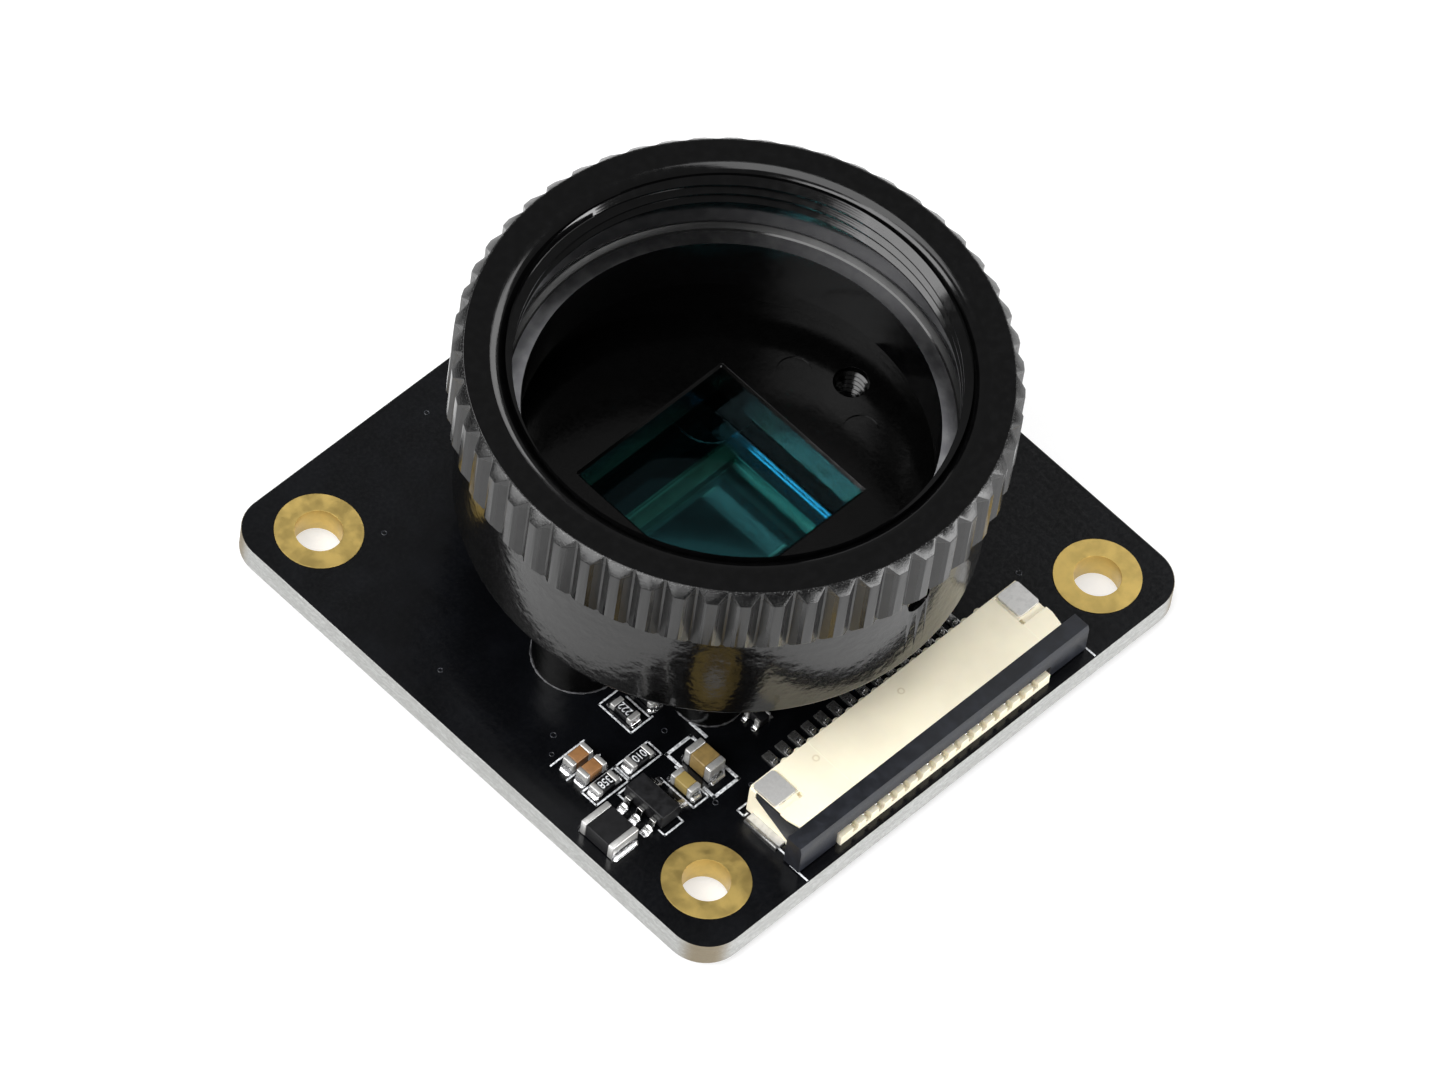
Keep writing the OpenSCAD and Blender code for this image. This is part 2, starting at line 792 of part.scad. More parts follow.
module regulator_body() {
    half_w = regulator_w / 2;
    low = part_base + 0.1;
    mid = part_base + regulator_h * 0.55;
    high = part_base + regulator_h;
    color([0.1, 0.1, 0.11])
    translate([regulator_at[0], regulator_at[1] + regulator_l / 2, 0]) rotate([90, 0, 0])
    linear_extrude(height = regulator_l)
    polygon([
        [-half_w + 0.08, low],
        [half_w - 0.08, low],
        [half_w, mid],
        [half_w - 0.1, high],
        [-half_w + 0.1, high],
        [-half_w, mid]
    ]);
}

// One gull-wing lead that reaches out along +X
module gull_lead() {
    t = lead_t;
    shoulder = part_base + regulator_h * 0.55;
    inner = regulator_w / 2;
    outer = lead_span / 2;
    knee = inner + 0.22;
    translate([0, lead_w / 2, 0]) rotate([90, 0, 0]) linear_extrude(height = lead_w)
    polygon([
        [inner, shoulder - t / 2],
        [knee - t, shoulder - t / 2],
        [knee, part_base],
        [outer, part_base],
        [outer, part_base + t],
        [knee + t, part_base + t],
        [knee, shoulder + t / 2],
        [inner, shoulder + t / 2]
    ]);
}

// Puts its children at each of the regulator's leads
module at_leads() {
    for (p = regulator_lead_places) {
        translate([regulator_at[0], regulator_at[1] + p[1] * lead_pitch, 0])
        rotate([0, 0, p[0] < 0 ? 180 : 0]) children();
    }
}

module regulator_leads() {
    color([0.78, 0.78, 0.79]) at_leads() gull_lead();
}

module at_line_filter() {
    translate([line_filter_at[0], line_filter_at[1], 0]) rotate([0, 0, 90]) children();
}

module line_filter_body() {
    color([0.12, 0.12, 0.13]) at_line_filter()
    block([line_filter_l, line_filter_w - 2 * terminal_t, line_filter_h], part_base);
}

module line_filter_ends() {
    color([0.8, 0.8, 0.8]) at_line_filter()
    for (x = [-1, 1], y = [-1, 1]) {
        translate([x * terminal_x, y * (line_filter_w - terminal_t) / 2, 0])
        block([terminal_w, terminal_t, line_filter_h], part_base);
    }
}

module chip_solder() {
    color([0.7, 0.7, 0.71]) {
        at_places(capacitors) chip_pads(chip_l, chip_w, chip_cap);
        at_places(resistors) chip_pads(chip_l, chip_w, chip_cap);
        at_bulk() chip_pads(bulk_l, bulk_w, bulk_cap);
        at_inductor() chip_pads(inductor_l, inductor_w, inductor_cap);
        at_leads() translate([lead_span / 2, 0, 0]) block([0.7, lead_w + 0.15, solder_t], board_top);
        at_line_filter()
        for (x = [-1, 1], y = [-1, 1]) {
            translate([x * terminal_x, y * line_filter_w / 2, 0])
            block([terminal_w + 0.04, 2 * terminal_t, solder_t], board_top);
        }
    }
}

circuit_board();
mounting_lands();
lens_holder();
adapter_ring();
holder_screws();
set_screw();
ir_filter();
sensor_package();
sensor_die();
sensor_cover();
flex_housing();
flex_latch();
flex_contacts();
flex_tabs();
flex_solder();
regulator_body();
regulator_leads();
inductor_body();
inductor_ends();
bulk_capacitor_body();
bulk_capacitor_ends();
capacitor_bodies();
capacitor_ends();
resistor_bodies();
resistor_ends();
line_filter_body();
line_filter_ends();
chip_solder();
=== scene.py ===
"""Dresses the packed camera module: finishes, threads, print, solder and a plain stage."""
import json
import math

import bmesh
import bpy
from bpy.props import FloatProperty, FloatVectorProperty, IntProperty, PointerProperty, StringProperty
from mathutils import Matrix, Vector

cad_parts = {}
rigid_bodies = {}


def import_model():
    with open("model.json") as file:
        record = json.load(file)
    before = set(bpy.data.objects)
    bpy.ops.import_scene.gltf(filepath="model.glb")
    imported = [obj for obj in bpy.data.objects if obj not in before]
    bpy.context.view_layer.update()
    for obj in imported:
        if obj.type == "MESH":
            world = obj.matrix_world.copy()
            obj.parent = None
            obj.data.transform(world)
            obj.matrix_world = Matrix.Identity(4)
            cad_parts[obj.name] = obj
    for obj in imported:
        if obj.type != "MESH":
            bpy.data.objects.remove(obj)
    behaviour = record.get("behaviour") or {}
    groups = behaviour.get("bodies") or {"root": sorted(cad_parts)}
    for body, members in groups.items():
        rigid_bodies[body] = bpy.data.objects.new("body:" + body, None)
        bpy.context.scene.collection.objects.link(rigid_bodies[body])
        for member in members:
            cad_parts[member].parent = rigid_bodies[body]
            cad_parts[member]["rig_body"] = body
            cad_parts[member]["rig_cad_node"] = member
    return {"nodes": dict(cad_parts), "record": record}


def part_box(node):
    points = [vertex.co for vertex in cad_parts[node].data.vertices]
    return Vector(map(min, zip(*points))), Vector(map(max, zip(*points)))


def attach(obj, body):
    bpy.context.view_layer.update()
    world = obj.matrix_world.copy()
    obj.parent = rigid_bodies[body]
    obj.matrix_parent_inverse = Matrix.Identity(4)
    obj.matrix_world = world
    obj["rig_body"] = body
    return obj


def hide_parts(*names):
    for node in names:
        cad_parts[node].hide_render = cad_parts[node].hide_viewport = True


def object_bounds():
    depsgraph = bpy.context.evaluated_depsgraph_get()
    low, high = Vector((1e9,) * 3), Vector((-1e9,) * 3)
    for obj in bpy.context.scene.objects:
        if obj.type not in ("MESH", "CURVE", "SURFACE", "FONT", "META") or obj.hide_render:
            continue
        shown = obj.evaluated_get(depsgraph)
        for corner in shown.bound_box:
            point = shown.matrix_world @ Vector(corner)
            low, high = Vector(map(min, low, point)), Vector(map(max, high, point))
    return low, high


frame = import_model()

bl_info = {
    "name": "Camera module dressing",
    "version": (1, 0, 0),
    "blender": (4, 5, 0),
    "location": "3D View > Sidebar > Camera module",
    "description": "Finishes, threads, print, solder and a plain stage for a board camera module",
    "category": "Object",
}

MM = 0.001
CAD_BOX = [list(c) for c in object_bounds()]
BOARD_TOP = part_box("circuit_board")[1].z
RING_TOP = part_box("adapter_ring")[1].z
LENS_BORE = next(m["dims"]["r_mm"] for m in frame["record"]["mounts"] if m["name"] == "lens_thread")
WHITE = (1.0, 1.0, 1.0, 1.0)
FLOOR_GREY = (0.5, 0.5, 0.5, 1.0)
FLOOR_GLOW = 0.6
# vertical screws through the holder's bosses, and its four feet, from the optical axis
BOSS_X = 10.15 * MM
FOOT_XY = 6.7 * MM
# screw holes in the bosses: radius, and height of their blind end above the board
HOLE_RADIUS = 1.03 * MM
HOLE_TOP = 7.0 * MM
# turned land at the foot of the lens bore: inner radius, thickness, depth below the ring's top face
LAND_RADIUS = 11.52 * MM
LAND_SKIN = 0.012 * MM
LAND_DEPTH = 4.85 * MM
# how deep a ridge is sunk in its wall, so that no gap shows
SUNK = 0.02 * MM


def size(name, mm, text, low=0.0, high=50.0):
    """A length in the panel, given in millimetres."""
    return FloatProperty(name=name, description=text, default=mm * MM, min=low * MM, max=high * MM,
                         unit="LENGTH", precision=5)


def tint(name, rgb, text):
    """A colour in the panel."""
    return FloatVectorProperty(name=name, description=text, default=rgb, min=0.0, max=1.0, size=3,
                               subtype="COLOR")


def amount(name, value, text, high=100.0):
    """A plain number in the panel."""
    return FloatProperty(name=name, description=text, default=value, min=0.0, max=high)


# ---- settings


class FinishSettings(bpy.types.PropertyGroup):
    """Colours of the module's finishes."""

    mask: tint("Solder mask", (0.0018, 0.002, 0.0026), "Black solder mask of the board")
    fibre: tint("Glass fibre", (0.40, 0.405, 0.395), "Cut edge of the board")
    gold: tint("Gold", (0.70, 0.51, 0.165), "Plating of the mounting holes")
    holder: tint("Lens holder", (0.001, 0.001, 0.001), "Moulded black plastic of the holder")
    ring: tint("Adapter ring", (0.0012, 0.0012, 0.0013), "Black anodised aluminium")
    ivory: tint("Connector housing", (0.93, 0.86, 0.67), "Ivory nylon")
    latch: tint("Connector latch", (0.0042, 0.0052, 0.0084), "Blue-black nylon")
    tin: tint("Tin", (0.66, 0.655, 0.64), "Tinned leads, caps and tabs")
    solder: tint("Solder", (0.70, 0.70, 0.71), "Bright reflowed solder")
    tan: tint("Tan ceramic", (0.27, 0.13, 0.048), "Small brown capacitors")
    mustard: tint("Mustard ceramic", (0.30, 0.22, 0.07), "Small capacitor beside the large one")
    ochre: tint("Ochre ceramic", (0.26, 0.175, 0.06), "Ochre capacitors")
    glass: tint("Filter glass", (0.63, 0.92, 0.94), "Blue-green filter glass")


class ThreadSettings(bpy.types.PropertyGroup):
    """Sizes of the threads."""

    bore: size("Lens bore radius", LENS_BORE, "Major radius of the lens thread")
    pitch: size("Lens thread pitch", 0.794, "Rise of the lens thread on each turn")
    depth: size("Lens thread depth", 0.43, "Height of the lens thread's ridge")
    low: size("Lens thread start", 2.85, "Lowest turn, below the ring's top face")
    high: size("Lens thread end", 0.35, "Highest turn, below the ring's top face")
    boss_pitch: size("Boss thread pitch", 0.4, "Rise of the boss thread on each turn")
    boss_depth: size("Boss thread depth", 0.16, "Height of the boss thread's ridge")


class PrintSettings(bpy.types.PropertyGroup):
    """Sizes of the white print on the board."""

    line: size("Line width", 0.11, "Width of the thin printed lines")
    bold: size("Bold width", 0.2, "Width of the bold printed lines")
    build: size("Print thickness", 0.012, "Thickness of the ink")
    code: size("Code height", 0.52, "Height of the digits on the resistors")


class SolderSettings(bpy.types.PropertyGroup):
    """Sizes of the solder joints."""

    reach: size("Fillet reach", 0.3, "How far a fillet runs out from its cap")
    climb: amount("Fillet climb", 0.62, "Share of the cap's height that the solder climbs", 1.0)
    seal: size("Seal radius", 0.07, "Radius of the bead round the holder's feet")


class StageSettings(bpy.types.PropertyGroup):
    """Light and floor."""

    key: amount("Key light", 12.0, "Power of the large soft light, in watts")
    top: amount("Top light", 3.2, "Power of the soft light overhead, in watts")
    back: amount("Back light", 1.5, "Power of the soft light behind the module, in watts")
    fill: amount("Fill light", 11.0, "Power of the soft light at the right, in watts")
    room: amount("Room light", 0.16, "Strength of the light from all round", 2.0)


GROUPS = (
    ("module_finish", FinishSettings),
    ("module_thread", ThreadSettings),
    ("module_print", PrintSettings),
    ("module_solder", SolderSettings),
    ("module_stage", StageSettings),
)


def setting(group):
    """The panel's values of one group."""
    return getattr(bpy.context.scene, group)


# ---- finishes


class Finish:
    """The node tree of one finish, on a principled shader unless surface() replaces it."""

    def __init__(self, name, colour=(1.0, 1.0, 1.0), roughness=0.5, metallic=0.0, **fixed):
        self.material = bpy.data.materials.new(name)
        self.material.use_nodes = True
        self.tree = self.material.node_tree
        self.shader = self.tree.nodes["Principled BSDF"]
        self.place = self.node("ShaderNodeTexCoord").outputs["Object"]
        self.set("Base Color", (*colour, 1.0))
        self.set("Roughness", roughness)
        self.set("Metallic", metallic)
        for socket, value in fixed.items():
            self.set(socket.replace("_", " "), value)

    def node(self, kind, **settings):
        n = self.tree.nodes.new(kind)
        for key, value in settings.items():
            setattr(n, key, value)
        return n

    def set(self, socket, value):
        """A constant or another node's output on one of the shader's sockets."""
        self.feed(self.shader.inputs[socket], value)

    def feed(self, socket, value):
        if isinstance(value, bpy.types.NodeSocket):
            self.tree.links.new(value, socket)
        else:
            socket.default_value = value

    def surface(self, output):
        """Puts another shader in the principled shader's place."""
        self.tree.nodes.remove(self.shader)
        self.feed(self.tree.nodes["Material Output"].inputs["Surface"], output)
        return self.material

    def output(self, kind, *values, **named):
        """A new node's first output; values go to its sockets in turn, and named ones by socket name."""
        n = self.node(kind)
        for socket, value in zip(n.inputs, values):
            self.feed(socket, value)
        for name, value in named.items():
            self.feed(n.inputs[name], value)
        return n.outputs[0]

    def math(self, operation, a, b=0.0, clamp=False):
        n = self.node("ShaderNodeMath", operation=operation, use_clamp=clamp)
        self.feed(n.inputs[0], a)
        self.feed(n.inputs[1], b)
        return n.outputs[0]

    def plus(self, a, b):
        return self.math("ADD", a, b)

    def times(self, a, b):
        return self.math("MULTIPLY", a, b)

    def larger(self, a, b):
        return self.math("MAXIMUM", a, b)

    def abs(self, a):
        return self.math("ABSOLUTE", a)

    def vector(self, operation, a, b=(0.0, 0.0, 0.0)):
        n = self.node("ShaderNodeVectorMath", operation=operation)
        self.feed(n.inputs[0], a)
        self.feed(n.inputs[1], b)
        return n.outputs["Value" if operation in ("LENGTH", "DISTANCE") else "Vector"]

    def axes(self):
        """The place's X, Y and Z, in millimetres."""
        n = self.node("ShaderNodeSeparateXYZ")
        self.feed(n.inputs[0], self.vector("MULTIPLY", self.place, (1000.0, 1000.0, 1000.0)))
        return n.outputs[0], n.outputs[1], n.outputs[2]

    def flat(self):
        """The place's X and Y, in millimetres, with Z at 0."""
        return self.vector("MULTIPLY", self.place, (1000.0, 1000.0, 0.0))

    def radius(self):
        """Distance from the optical axis, in millimetres."""
        return self.vector("LENGTH", self.flat())

    def noise(self, grain, detail=3.0, rough=0.55, stretch=(1.0, 1.0, 1.0)):
        """Noise whose features measure about grain millimetres."""
        place = self.output("ShaderNodeMapping", Vector=self.place, Scale=stretch)
        return self.output("ShaderNodeTexNoise", Vector=place, Scale=1.0 / (grain * MM), Detail=detail,
                           Roughness=rough)

    def rings(self, pitch):
        """Turning lines round the optical axis, pitch millimetres apart."""
        n = self.node("ShaderNodeTexWave", wave_type="RINGS", rings_direction="Z")
        self.feed(n.inputs["Vector"], self.place)
        n.inputs["Scale"].default_value = 0.314159 / (pitch * MM)
        n.inputs["Detail Scale"].default_value = 3.0
        return n.outputs["Fac"]

    def ramp(self, value, low, high, out_low=0.0, out_high=1.0):
        """A soft step of the value, from out_low at low to out_high at high."""
        if low > high:
            low, high, out_low, out_high = high, low, out_high, out_low
        n = self.node("ShaderNodeMapRange", interpolation_type="SMOOTHSTEP")
        for socket, x in zip(n.inputs, (value, low, high, out_low, out_high)):
            self.feed(socket, x)
        return n.outputs["Result"]

    def spread(self, noise, low, high):
        """A noise as values from low to high."""
        return self.ramp(noise, 0.3, 0.7, low, high)

    def patches(self, noise, a, b):
        """Colour a, with soft patches of colour b; a number in place of b darkens or lightens a."""
        return self.mix(self.ramp(noise, 0.35, 0.7), a, scaled(a, b) if isinstance(b, float) else b)

    def mix(self, factor, a, b):
        n = self.node("ShaderNodeMix", data_type="RGBA")
        self.feed(n.inputs[0], factor)
        for socket, value in ((n.inputs[6], a), (n.inputs[7], b)):
            self.feed(socket, value if isinstance(value, bpy.types.NodeSocket) else (*value, 1.0))
        return n.outputs[2]

    def bump(self, height, depth, strength=1.0, under=None):
        """Bump of depth millimetres, on top of an earlier one."""
        below = {} if under is None else {"Normal": under}
        return self.output("ShaderNodeBump", Height=height, Distance=depth * MM, Strength=strength, **below)

    def spots(self, places, reach):
        """1 within reach millimetres of any of the places on the board, as (x, y), and 0 elsewhere."""
        total = None
        flat = self.flat()
        for x, y in places:
            near = self.ramp(self.vector("DISTANCE", flat, (x, y, 0.0)), reach, reach * 0.7)
            total = near if total is None else self.larger(total, near)
        return total


def scaled(colour, k):
    return tuple(min(1.0, c * k) for c in colour)


def board_finish():
    """Satin solder mask with a faint weave; pale glass fibre where the board is cut, with painted brown shade
    at the board's corners.
    """
    s = setting("module_finish")
    f = Finish("solder_mask", s.mask, 0.25, Specular_IOR_Level=0.4)
    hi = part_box("circuit_board")[1]
    corner = 2.4
    inner = (hi.x / MM - corner, hi.y / MM - corner, 1000.0)
    flat = f.vector("ABSOLUTE", f.flat())
    reach = f.vector("LENGTH", f.vector("MAXIMUM", f.vector("SUBTRACT", flat, inner)))
    cut = f.ramp(reach, corner - 0.05, corner - 0.02)
    fine = f.noise(0.22, 4.0, 0.6, (1.0, 1.0, 2.6))
    broad = f.noise(2.4)
    layer = f.noise(0.5, 2.0, 0.5, (0.25, 0.25, 3.0))
    pale = f.mix(f.ramp(fine, 0.36, 0.62), scaled(s.fibre, 0.78), scaled(s.fibre, 1.12))
    pale = f.mix(f.ramp(layer, 0.42, 0.6, 0.0, 0.5), pale, (0.30, 0.298, 0.288))
    x, y, _ = f.axes()
    # painted shade: the cut fibre turns brown and darker at the board's corners
    painted_corner_shade = f.ramp(f.math("MINIMUM", f.abs(x), f.abs(y)), 16.7, 17.9)
    pale = f.mix(f.times(painted_corner_shade, 0.85), pale, (0.17, 0.13, 0.068))
    mask = f.patches(broad, s.mask, 1.8)
    f.set("Base Color", f.mix(cut, mask, pale))
    f.set("Roughness", f.plus(f.ramp(cut, 0.0, 1.0, 0.2, 0.62), f.spread(fine, -0.03, 0.05)))
    weave = f.plus(f.math("SINE", f.times(x, 9.0)), f.math("SINE", f.times(y, 9.0)))
    normal = f.bump(weave, 0.0006)
    normal = f.bump(fine, 0.004, 0.25, normal)
    f.set("Normal", f.bump(f.times(fine, cut), 0.05, 0.8, normal))
    return f.material


def gold_finish():
    """Matte plated gold with fine grain and slightly duller patches."""
    s = setting("module_finish")
    f = Finish("plated_gold", s.gold, 0.4, 1.0)
    grain = f.noise(0.05, 2.0)
    patch = f.noise(1.1, 3.0)
    f.set("Base Color", f.mix(f.ramp(patch, 0.35, 0.7), scaled(s.gold, 0.82), s.gold))
    f.set("Roughness", f.plus(f.spread(patch, 0.36, 0.5), f.spread(grain, -0.04, 0.04)))
    f.set("Normal", f.bump(grain, 0.0035, 0.7))
    return f.material


def holder_finish():
    """Glossy moulding with slight orange peel, which is fainter deep in the cup."""
    s = setting("module_finish")
    f = Finish("moulded_black", s.holder, 0.14, Specular_IOR_Level=0.45)
    peel = f.noise(0.75, 2.0, 0.5)
    fine = f.noise(0.16, 3.0, 0.6)
    inside = f.ramp(f.radius(), 12.9, 12.8)
    z = f.axes()[2]
    deep = f.times(inside, f.ramp(z, 8.0, 8.3))
    f.set("Base Color", f.mix(f.ramp(peel, 0.3, 0.7), s.holder, scaled(s.holder, 1.5)))
    f.set("Roughness", f.plus(f.ramp(deep, 0.0, 1.0, 0.13, 0.15), f.spread(fine, -0.03, 0.04)))
    normal = f.bump(f.times(peel, f.ramp(deep, 0.0, 1.0, 1.0, 0.35)), 0.028, 0.8)
    f.set("Normal", f.bump(fine, 0.0022, 0.5, normal))
    return f.material


def ring_finish():
    """Black anodised aluminium with turning lines; lighter grains on the knurl's bevel and top edge, worn
    metal with a painted highlight; painted shade in the knurl's grooves and on the seat bevel.
    """
    s = setting("module_finish")
    f = Finish("black_anodised", s.ring, 0.2, Specular_IOR_Level=0.5)
    z = f.axes()[2]
    reach = f.radius()
    top = RING_TOP / MM
    outside = f.ramp(reach, 14.98, 15.02)
    bevel = f.times(outside, f.ramp(z, top - 0.62, top - 0.56))
    rim = f.times(outside, f.ramp(z, top - 0.16, top - 0.06))
    groove = f.times(f.times(outside, f.ramp(reach, 15.5, 15.38)), f.ramp(bevel, 1.0, 0.0))
    seat = f.times(f.times(f.ramp(reach, 12.42, 12.46), f.ramp(reach, 12.76, 12.72)),
                   f.ramp(z, top - 4.3, top - 4.45))
    # painted shade: darker base colour, and rougher metal, in the knurl's grooves and on the seat bevel at
    # the foot of the bore
    matte_painted_shade = f.larger(seat, f.times(groove, 0.8))
    cloud = f.noise(0.6, 3.0)
    fine = f.noise(0.07, 3.0, 0.6)
    scratch = f.noise(0.4, 3.0, 0.6, (1.0, 1.0, 12.0))
    # lighter grains on the knurl's bevel and its outer top edge: worn metal, with a painted highlight
    wear_and_painted_highlight = f.times(f.ramp(fine, 0.54, 0.66), f.plus(f.ramp(bevel, 0.0, 1.0, 0.0, 0.12),
                                                    f.ramp(rim, 0.0, 1.0, 0.0, 0.5)))
    base = f.patches(cloud, s.ring, 1.5)
    base = f.mix(matte_painted_shade, base, scaled(s.ring, 0.3))
    f.set("Base Color", f.mix(wear_and_painted_highlight, base, (0.14, 0.14, 0.14)))
    rough = f.larger(f.ramp(outside, 0.0, 1.0, 0.11, 0.2), f.times(matte_painted_shade, 0.4))
    f.set("Roughness", f.plus(rough, f.spread(cloud, -0.02, 0.04)))
    normal = f.bump(f.rings(0.11), 0.0012, 0.5)
    normal = f.bump(f.times(fine, bevel), 0.02, 0.6, normal)
    f.set("Normal", f.bump(scratch, 0.0012, 0.5, normal))
    return f.material


def seat_finish():
    """Bright satin land that the lathe left at the foot of the lens bore."""
    f = Finish("turned_land", (0.3, 0.3, 0.31), 0.34, 1.0, Anisotropic=0.75)
    tangent = f.node("ShaderNodeTangent", direction_type="RADIAL", axis="Z")
    f.set("Tangent", tangent.outputs[0])
    cloud = f.noise(0.8, 3.0)
    f.set("Base Color", f.patches(cloud, (0.27, 0.27, 0.285), (0.35, 0.35, 0.36)))
    f.set("Roughness", f.spread(cloud, 0.31, 0.37))
    f.set("Normal", f.bump(f.rings(0.09), 0.0015, 0.7))
    return f.material


def ivory_finish():
    """Ivory nylon with faint gate marks, parting lines and a soft skin."""
    s = setting("module_finish")
    f = Finish("ivory_nylon", s.ivory, 0.36, Specular_IOR_Level=0.5, Subsurface_Weight=0.12)
    f.shader.inputs["Subsurface Radius"].default_value = (0.0006, 0.0004, 0.0002)
    cloud = f.noise(3.0, 3.0)
    fine = f.noise(0.1, 3.0)
    x = f.axes()[0]
    gates = ((0.3, -14.4), (-6.35, -14.45))
    gate = f.spots(gates, 0.26)
    core = f.spots(gates, 0.15)
    part = f.larger(f.ramp(f.abs(f.plus(x, 5.95)), 0.05, 0.02),
                    f.ramp(f.abs(f.plus(x, -8.5)), 0.05, 0.02))
    base = f.patches(cloud, s.ivory, 0.93)
    base = f.mix(f.times(part, 0.3), base, scaled(s.ivory, 1.15))
    base = f.mix(f.times(f.math("SUBTRACT", gate, core, True), 0.4), base, (0.52, 0.40, 0.24))
    f.set("Base Color", base)
    f.set("Roughness", f.spread(fine, 0.3, 0.42))
    normal = f.bump(fine, 0.003, 0.4)
    f.set("Normal", f.bump(f.plus(gate, part), 0.012, 0.5, normal))
    return f.material


def plain_finish(name, colour, roughness, grain, depth, spread=1.5, metallic=0.0, **fixed):
    """A finish with soft colour patches, uneven gloss and a fine grain; a colour may be a setting's name."""
    if isinstance(colour, str):
        colour = tuple(getattr(setting("module_finish"), colour))
    f = Finish(name, colour, roughness, metallic, **fixed)
    patch = f.noise(grain * 8.0, 3.0)
    fine = f.noise(grain, 3.0, 0.6)
    f.set("Base Color", f.patches(patch, colour, spread))
    f.set("Roughness", f.plus(f.spread(patch, roughness - 0.05, roughness + 0.06),
                              f.spread(fine, -0.03, 0.03)))
    f.set("Normal", f.bump(fine, depth, 0.7))
    return f.material


def tan_finish():
    """Fired ceramic of the small capacitors: brown, and mustard on the one nearest the connector."""
    s = setting("module_finish")
    f = Finish("tan_ceramic", s.tan, 0.4)
    y = f.axes()[1]
    patch = f.noise(0.4, 3.0)
    fine = f.noise(0.05, 3.0, 0.6)
    base = f.patches(patch, s.tan, 0.8)
    f.set("Base Color", f.mix(f.ramp(y, -8.6, -8.8), base, s.mustard))
    f.set("Roughness", f.spread(fine, 0.34, 0.46))
    f.set("Normal", f.bump(fine, 0.004, 0.7))
    return f.material


def tin_finish(name, roughness, matte_painted_shade, metallic=1.0, bright=1.0):
    """Tin plating: bright metal with slightly crumpled skin and dull patches."""
    s = setting("module_finish")
    tin = scaled(s.tin, bright)
    f = Finish(name, tin, roughness, metallic)
    patch = f.noise(0.35, 3.0)
    fine = f.noise(0.06, 3.0, 0.6)
    f.set("Base Color", f.mix(f.ramp(patch, 0.4, 0.66), tin, scaled(tin, matte_painted_shade)))
    f.set("Roughness", f.ramp(patch, 0.35, 0.65, roughness - 0.05, roughness + 0.08))
    normal = f.bump(patch, 0.02, 0.3)
    f.set("Normal", f.bump(fine, 0.004, 0.5, normal))
    return f.material


def solder_finish():
    """Reflowed solder: bright, wavy, with a few dull grains."""
    s = setting("module_finish")
    f = Finish("reflowed_solder", s.solder, 0.2, 1.0)
    wave = f.noise(0.28, 2.0)
    fine = f.noise(0.07, 3.0, 0.6)
    f.set("Base Color", f.mix(f.ramp(fine, 0.5, 0.75), s.solder, scaled(s.solder, 0.6)))
    f.set("Roughness", f.ramp(wave, 0.35, 0.7, 0.13, 0.3))
    normal = f.bump(wave, 0.05, 0.6)
    f.set("Normal", f.bump(fine, 0.005, 0.4, normal))
    return f.material


def glass_finish(name, colour, gloss_tint, coat):
    """Thin coated glass: tinted and clear, with a coloured reflection."""
    f = Finish(name)
    clear = f.output("ShaderNodeBsdfTransparent", (*colour, 1.0))
    cloud = f.noise(1.0 / 0.26, 2.0, 0.5)
    gloss = f.output("ShaderNodeBsdfGlossy", f.mix(cloud, gloss_tint, scaled(gloss_tint, 0.8)), 0.03)
    edge = f.output("ShaderNodeFresnel", coat)
    return f.surface(f.output("ShaderNodeMixShader", edge, clear, gloss))


def die_finish():
    """Polished die: a darker active square, thin light lines and a greener border."""
    f = Finish("sensor_silicon", (0.34, 0.36, 0.35), 0.09, 1.0)
    x, y, _ = f.axes()
    active = f.times(f.times(f.ramp(x, 3.62, 3.58), f.ramp(y, 2.62, 2.58)),
                     f.times(f.ramp(x, -3.62, -3.58), f.ramp(y, -2.55, -2.5)))
    line = f.larger(f.ramp(f.abs(f.plus(x, -3.66)), 0.04, 0.02),
                    f.ramp(f.abs(f.plus(y, 2.58)), 0.035, 0.018))
    cloud = f.noise(1.6, 2.0)
    middle = f.patches(cloud, (0.26, 0.27, 0.27), (0.30, 0.31, 0.31))
    f.set("Base Color", f.mix(line, f.mix(active, (0.34, 0.38, 0.32), middle), (0.8, 0.85, 0.8)))
    f.set("Roughness", f.spread(cloud, 0.07, 0.11))
    return f.material


def package_finish():
    """Sensor base and wall: glossy green laminate, teal inside and olive towards its Y sides, with a painted
    cyan highlight towards its +X rim for the lit edge of the cover glass.
    """
    f = Finish("sensor_laminate", (0.34, 0.44, 0.30), 0.16, 0.9)
    x, y, _ = f.axes()
    cloud = f.noise(0.7, 3.0)
    stripe = f.times(f.ramp(x, 4.25, 4.5), f.ramp(x, 5.1, 4.8))
    # painted highlight: cyan towards the +X rim, for the edge of the cover glass lit by light piped through
    # it
    rim = f.ramp(x, 5.1, 5.7)
    side = f.ramp(f.abs(y), 3.1, 3.4)
    base = f.patches(cloud, (0.20, 0.24, 0.22), (0.24, 0.28, 0.25))
    base = f.mix(stripe, base, (0.05, 0.10, 0.092))
    base = f.mix(side, base, (0.36, 0.44, 0.30))
    f.set("Base Color", f.mix(rim, base, (0.05, 0.16, 0.26)))
    f.set("Roughness", f.spread(cloud, 0.14, 0.2))
    f.set("Normal", f.bump(cloud, 0.004, 0.3))
    return f.material


def ink_finish():
    """White screen print, slightly thin in places."""
    f = Finish("white_print", (0.74, 0.76, 0.78), 0.5)
    thin = f.noise(0.16, 3.0, 0.6)
    f.set("Base Color", f.mix(f.ramp(thin, 0.34, 0.6), (0.30, 0.31, 0.33), (0.80, 0.82, 0.84)))
    f.set("Roughness", f.spread(thin, 0.42, 0.6))
    f.set("Normal", f.bump(thin, 0.008, 0.5))
    return f.material


MADE = {}


def finish(name):
    """The finish of that name, made on first use."""
    if name not in MADE:
        MADE[name] = RECIPES[name]()
    return MADE[name]


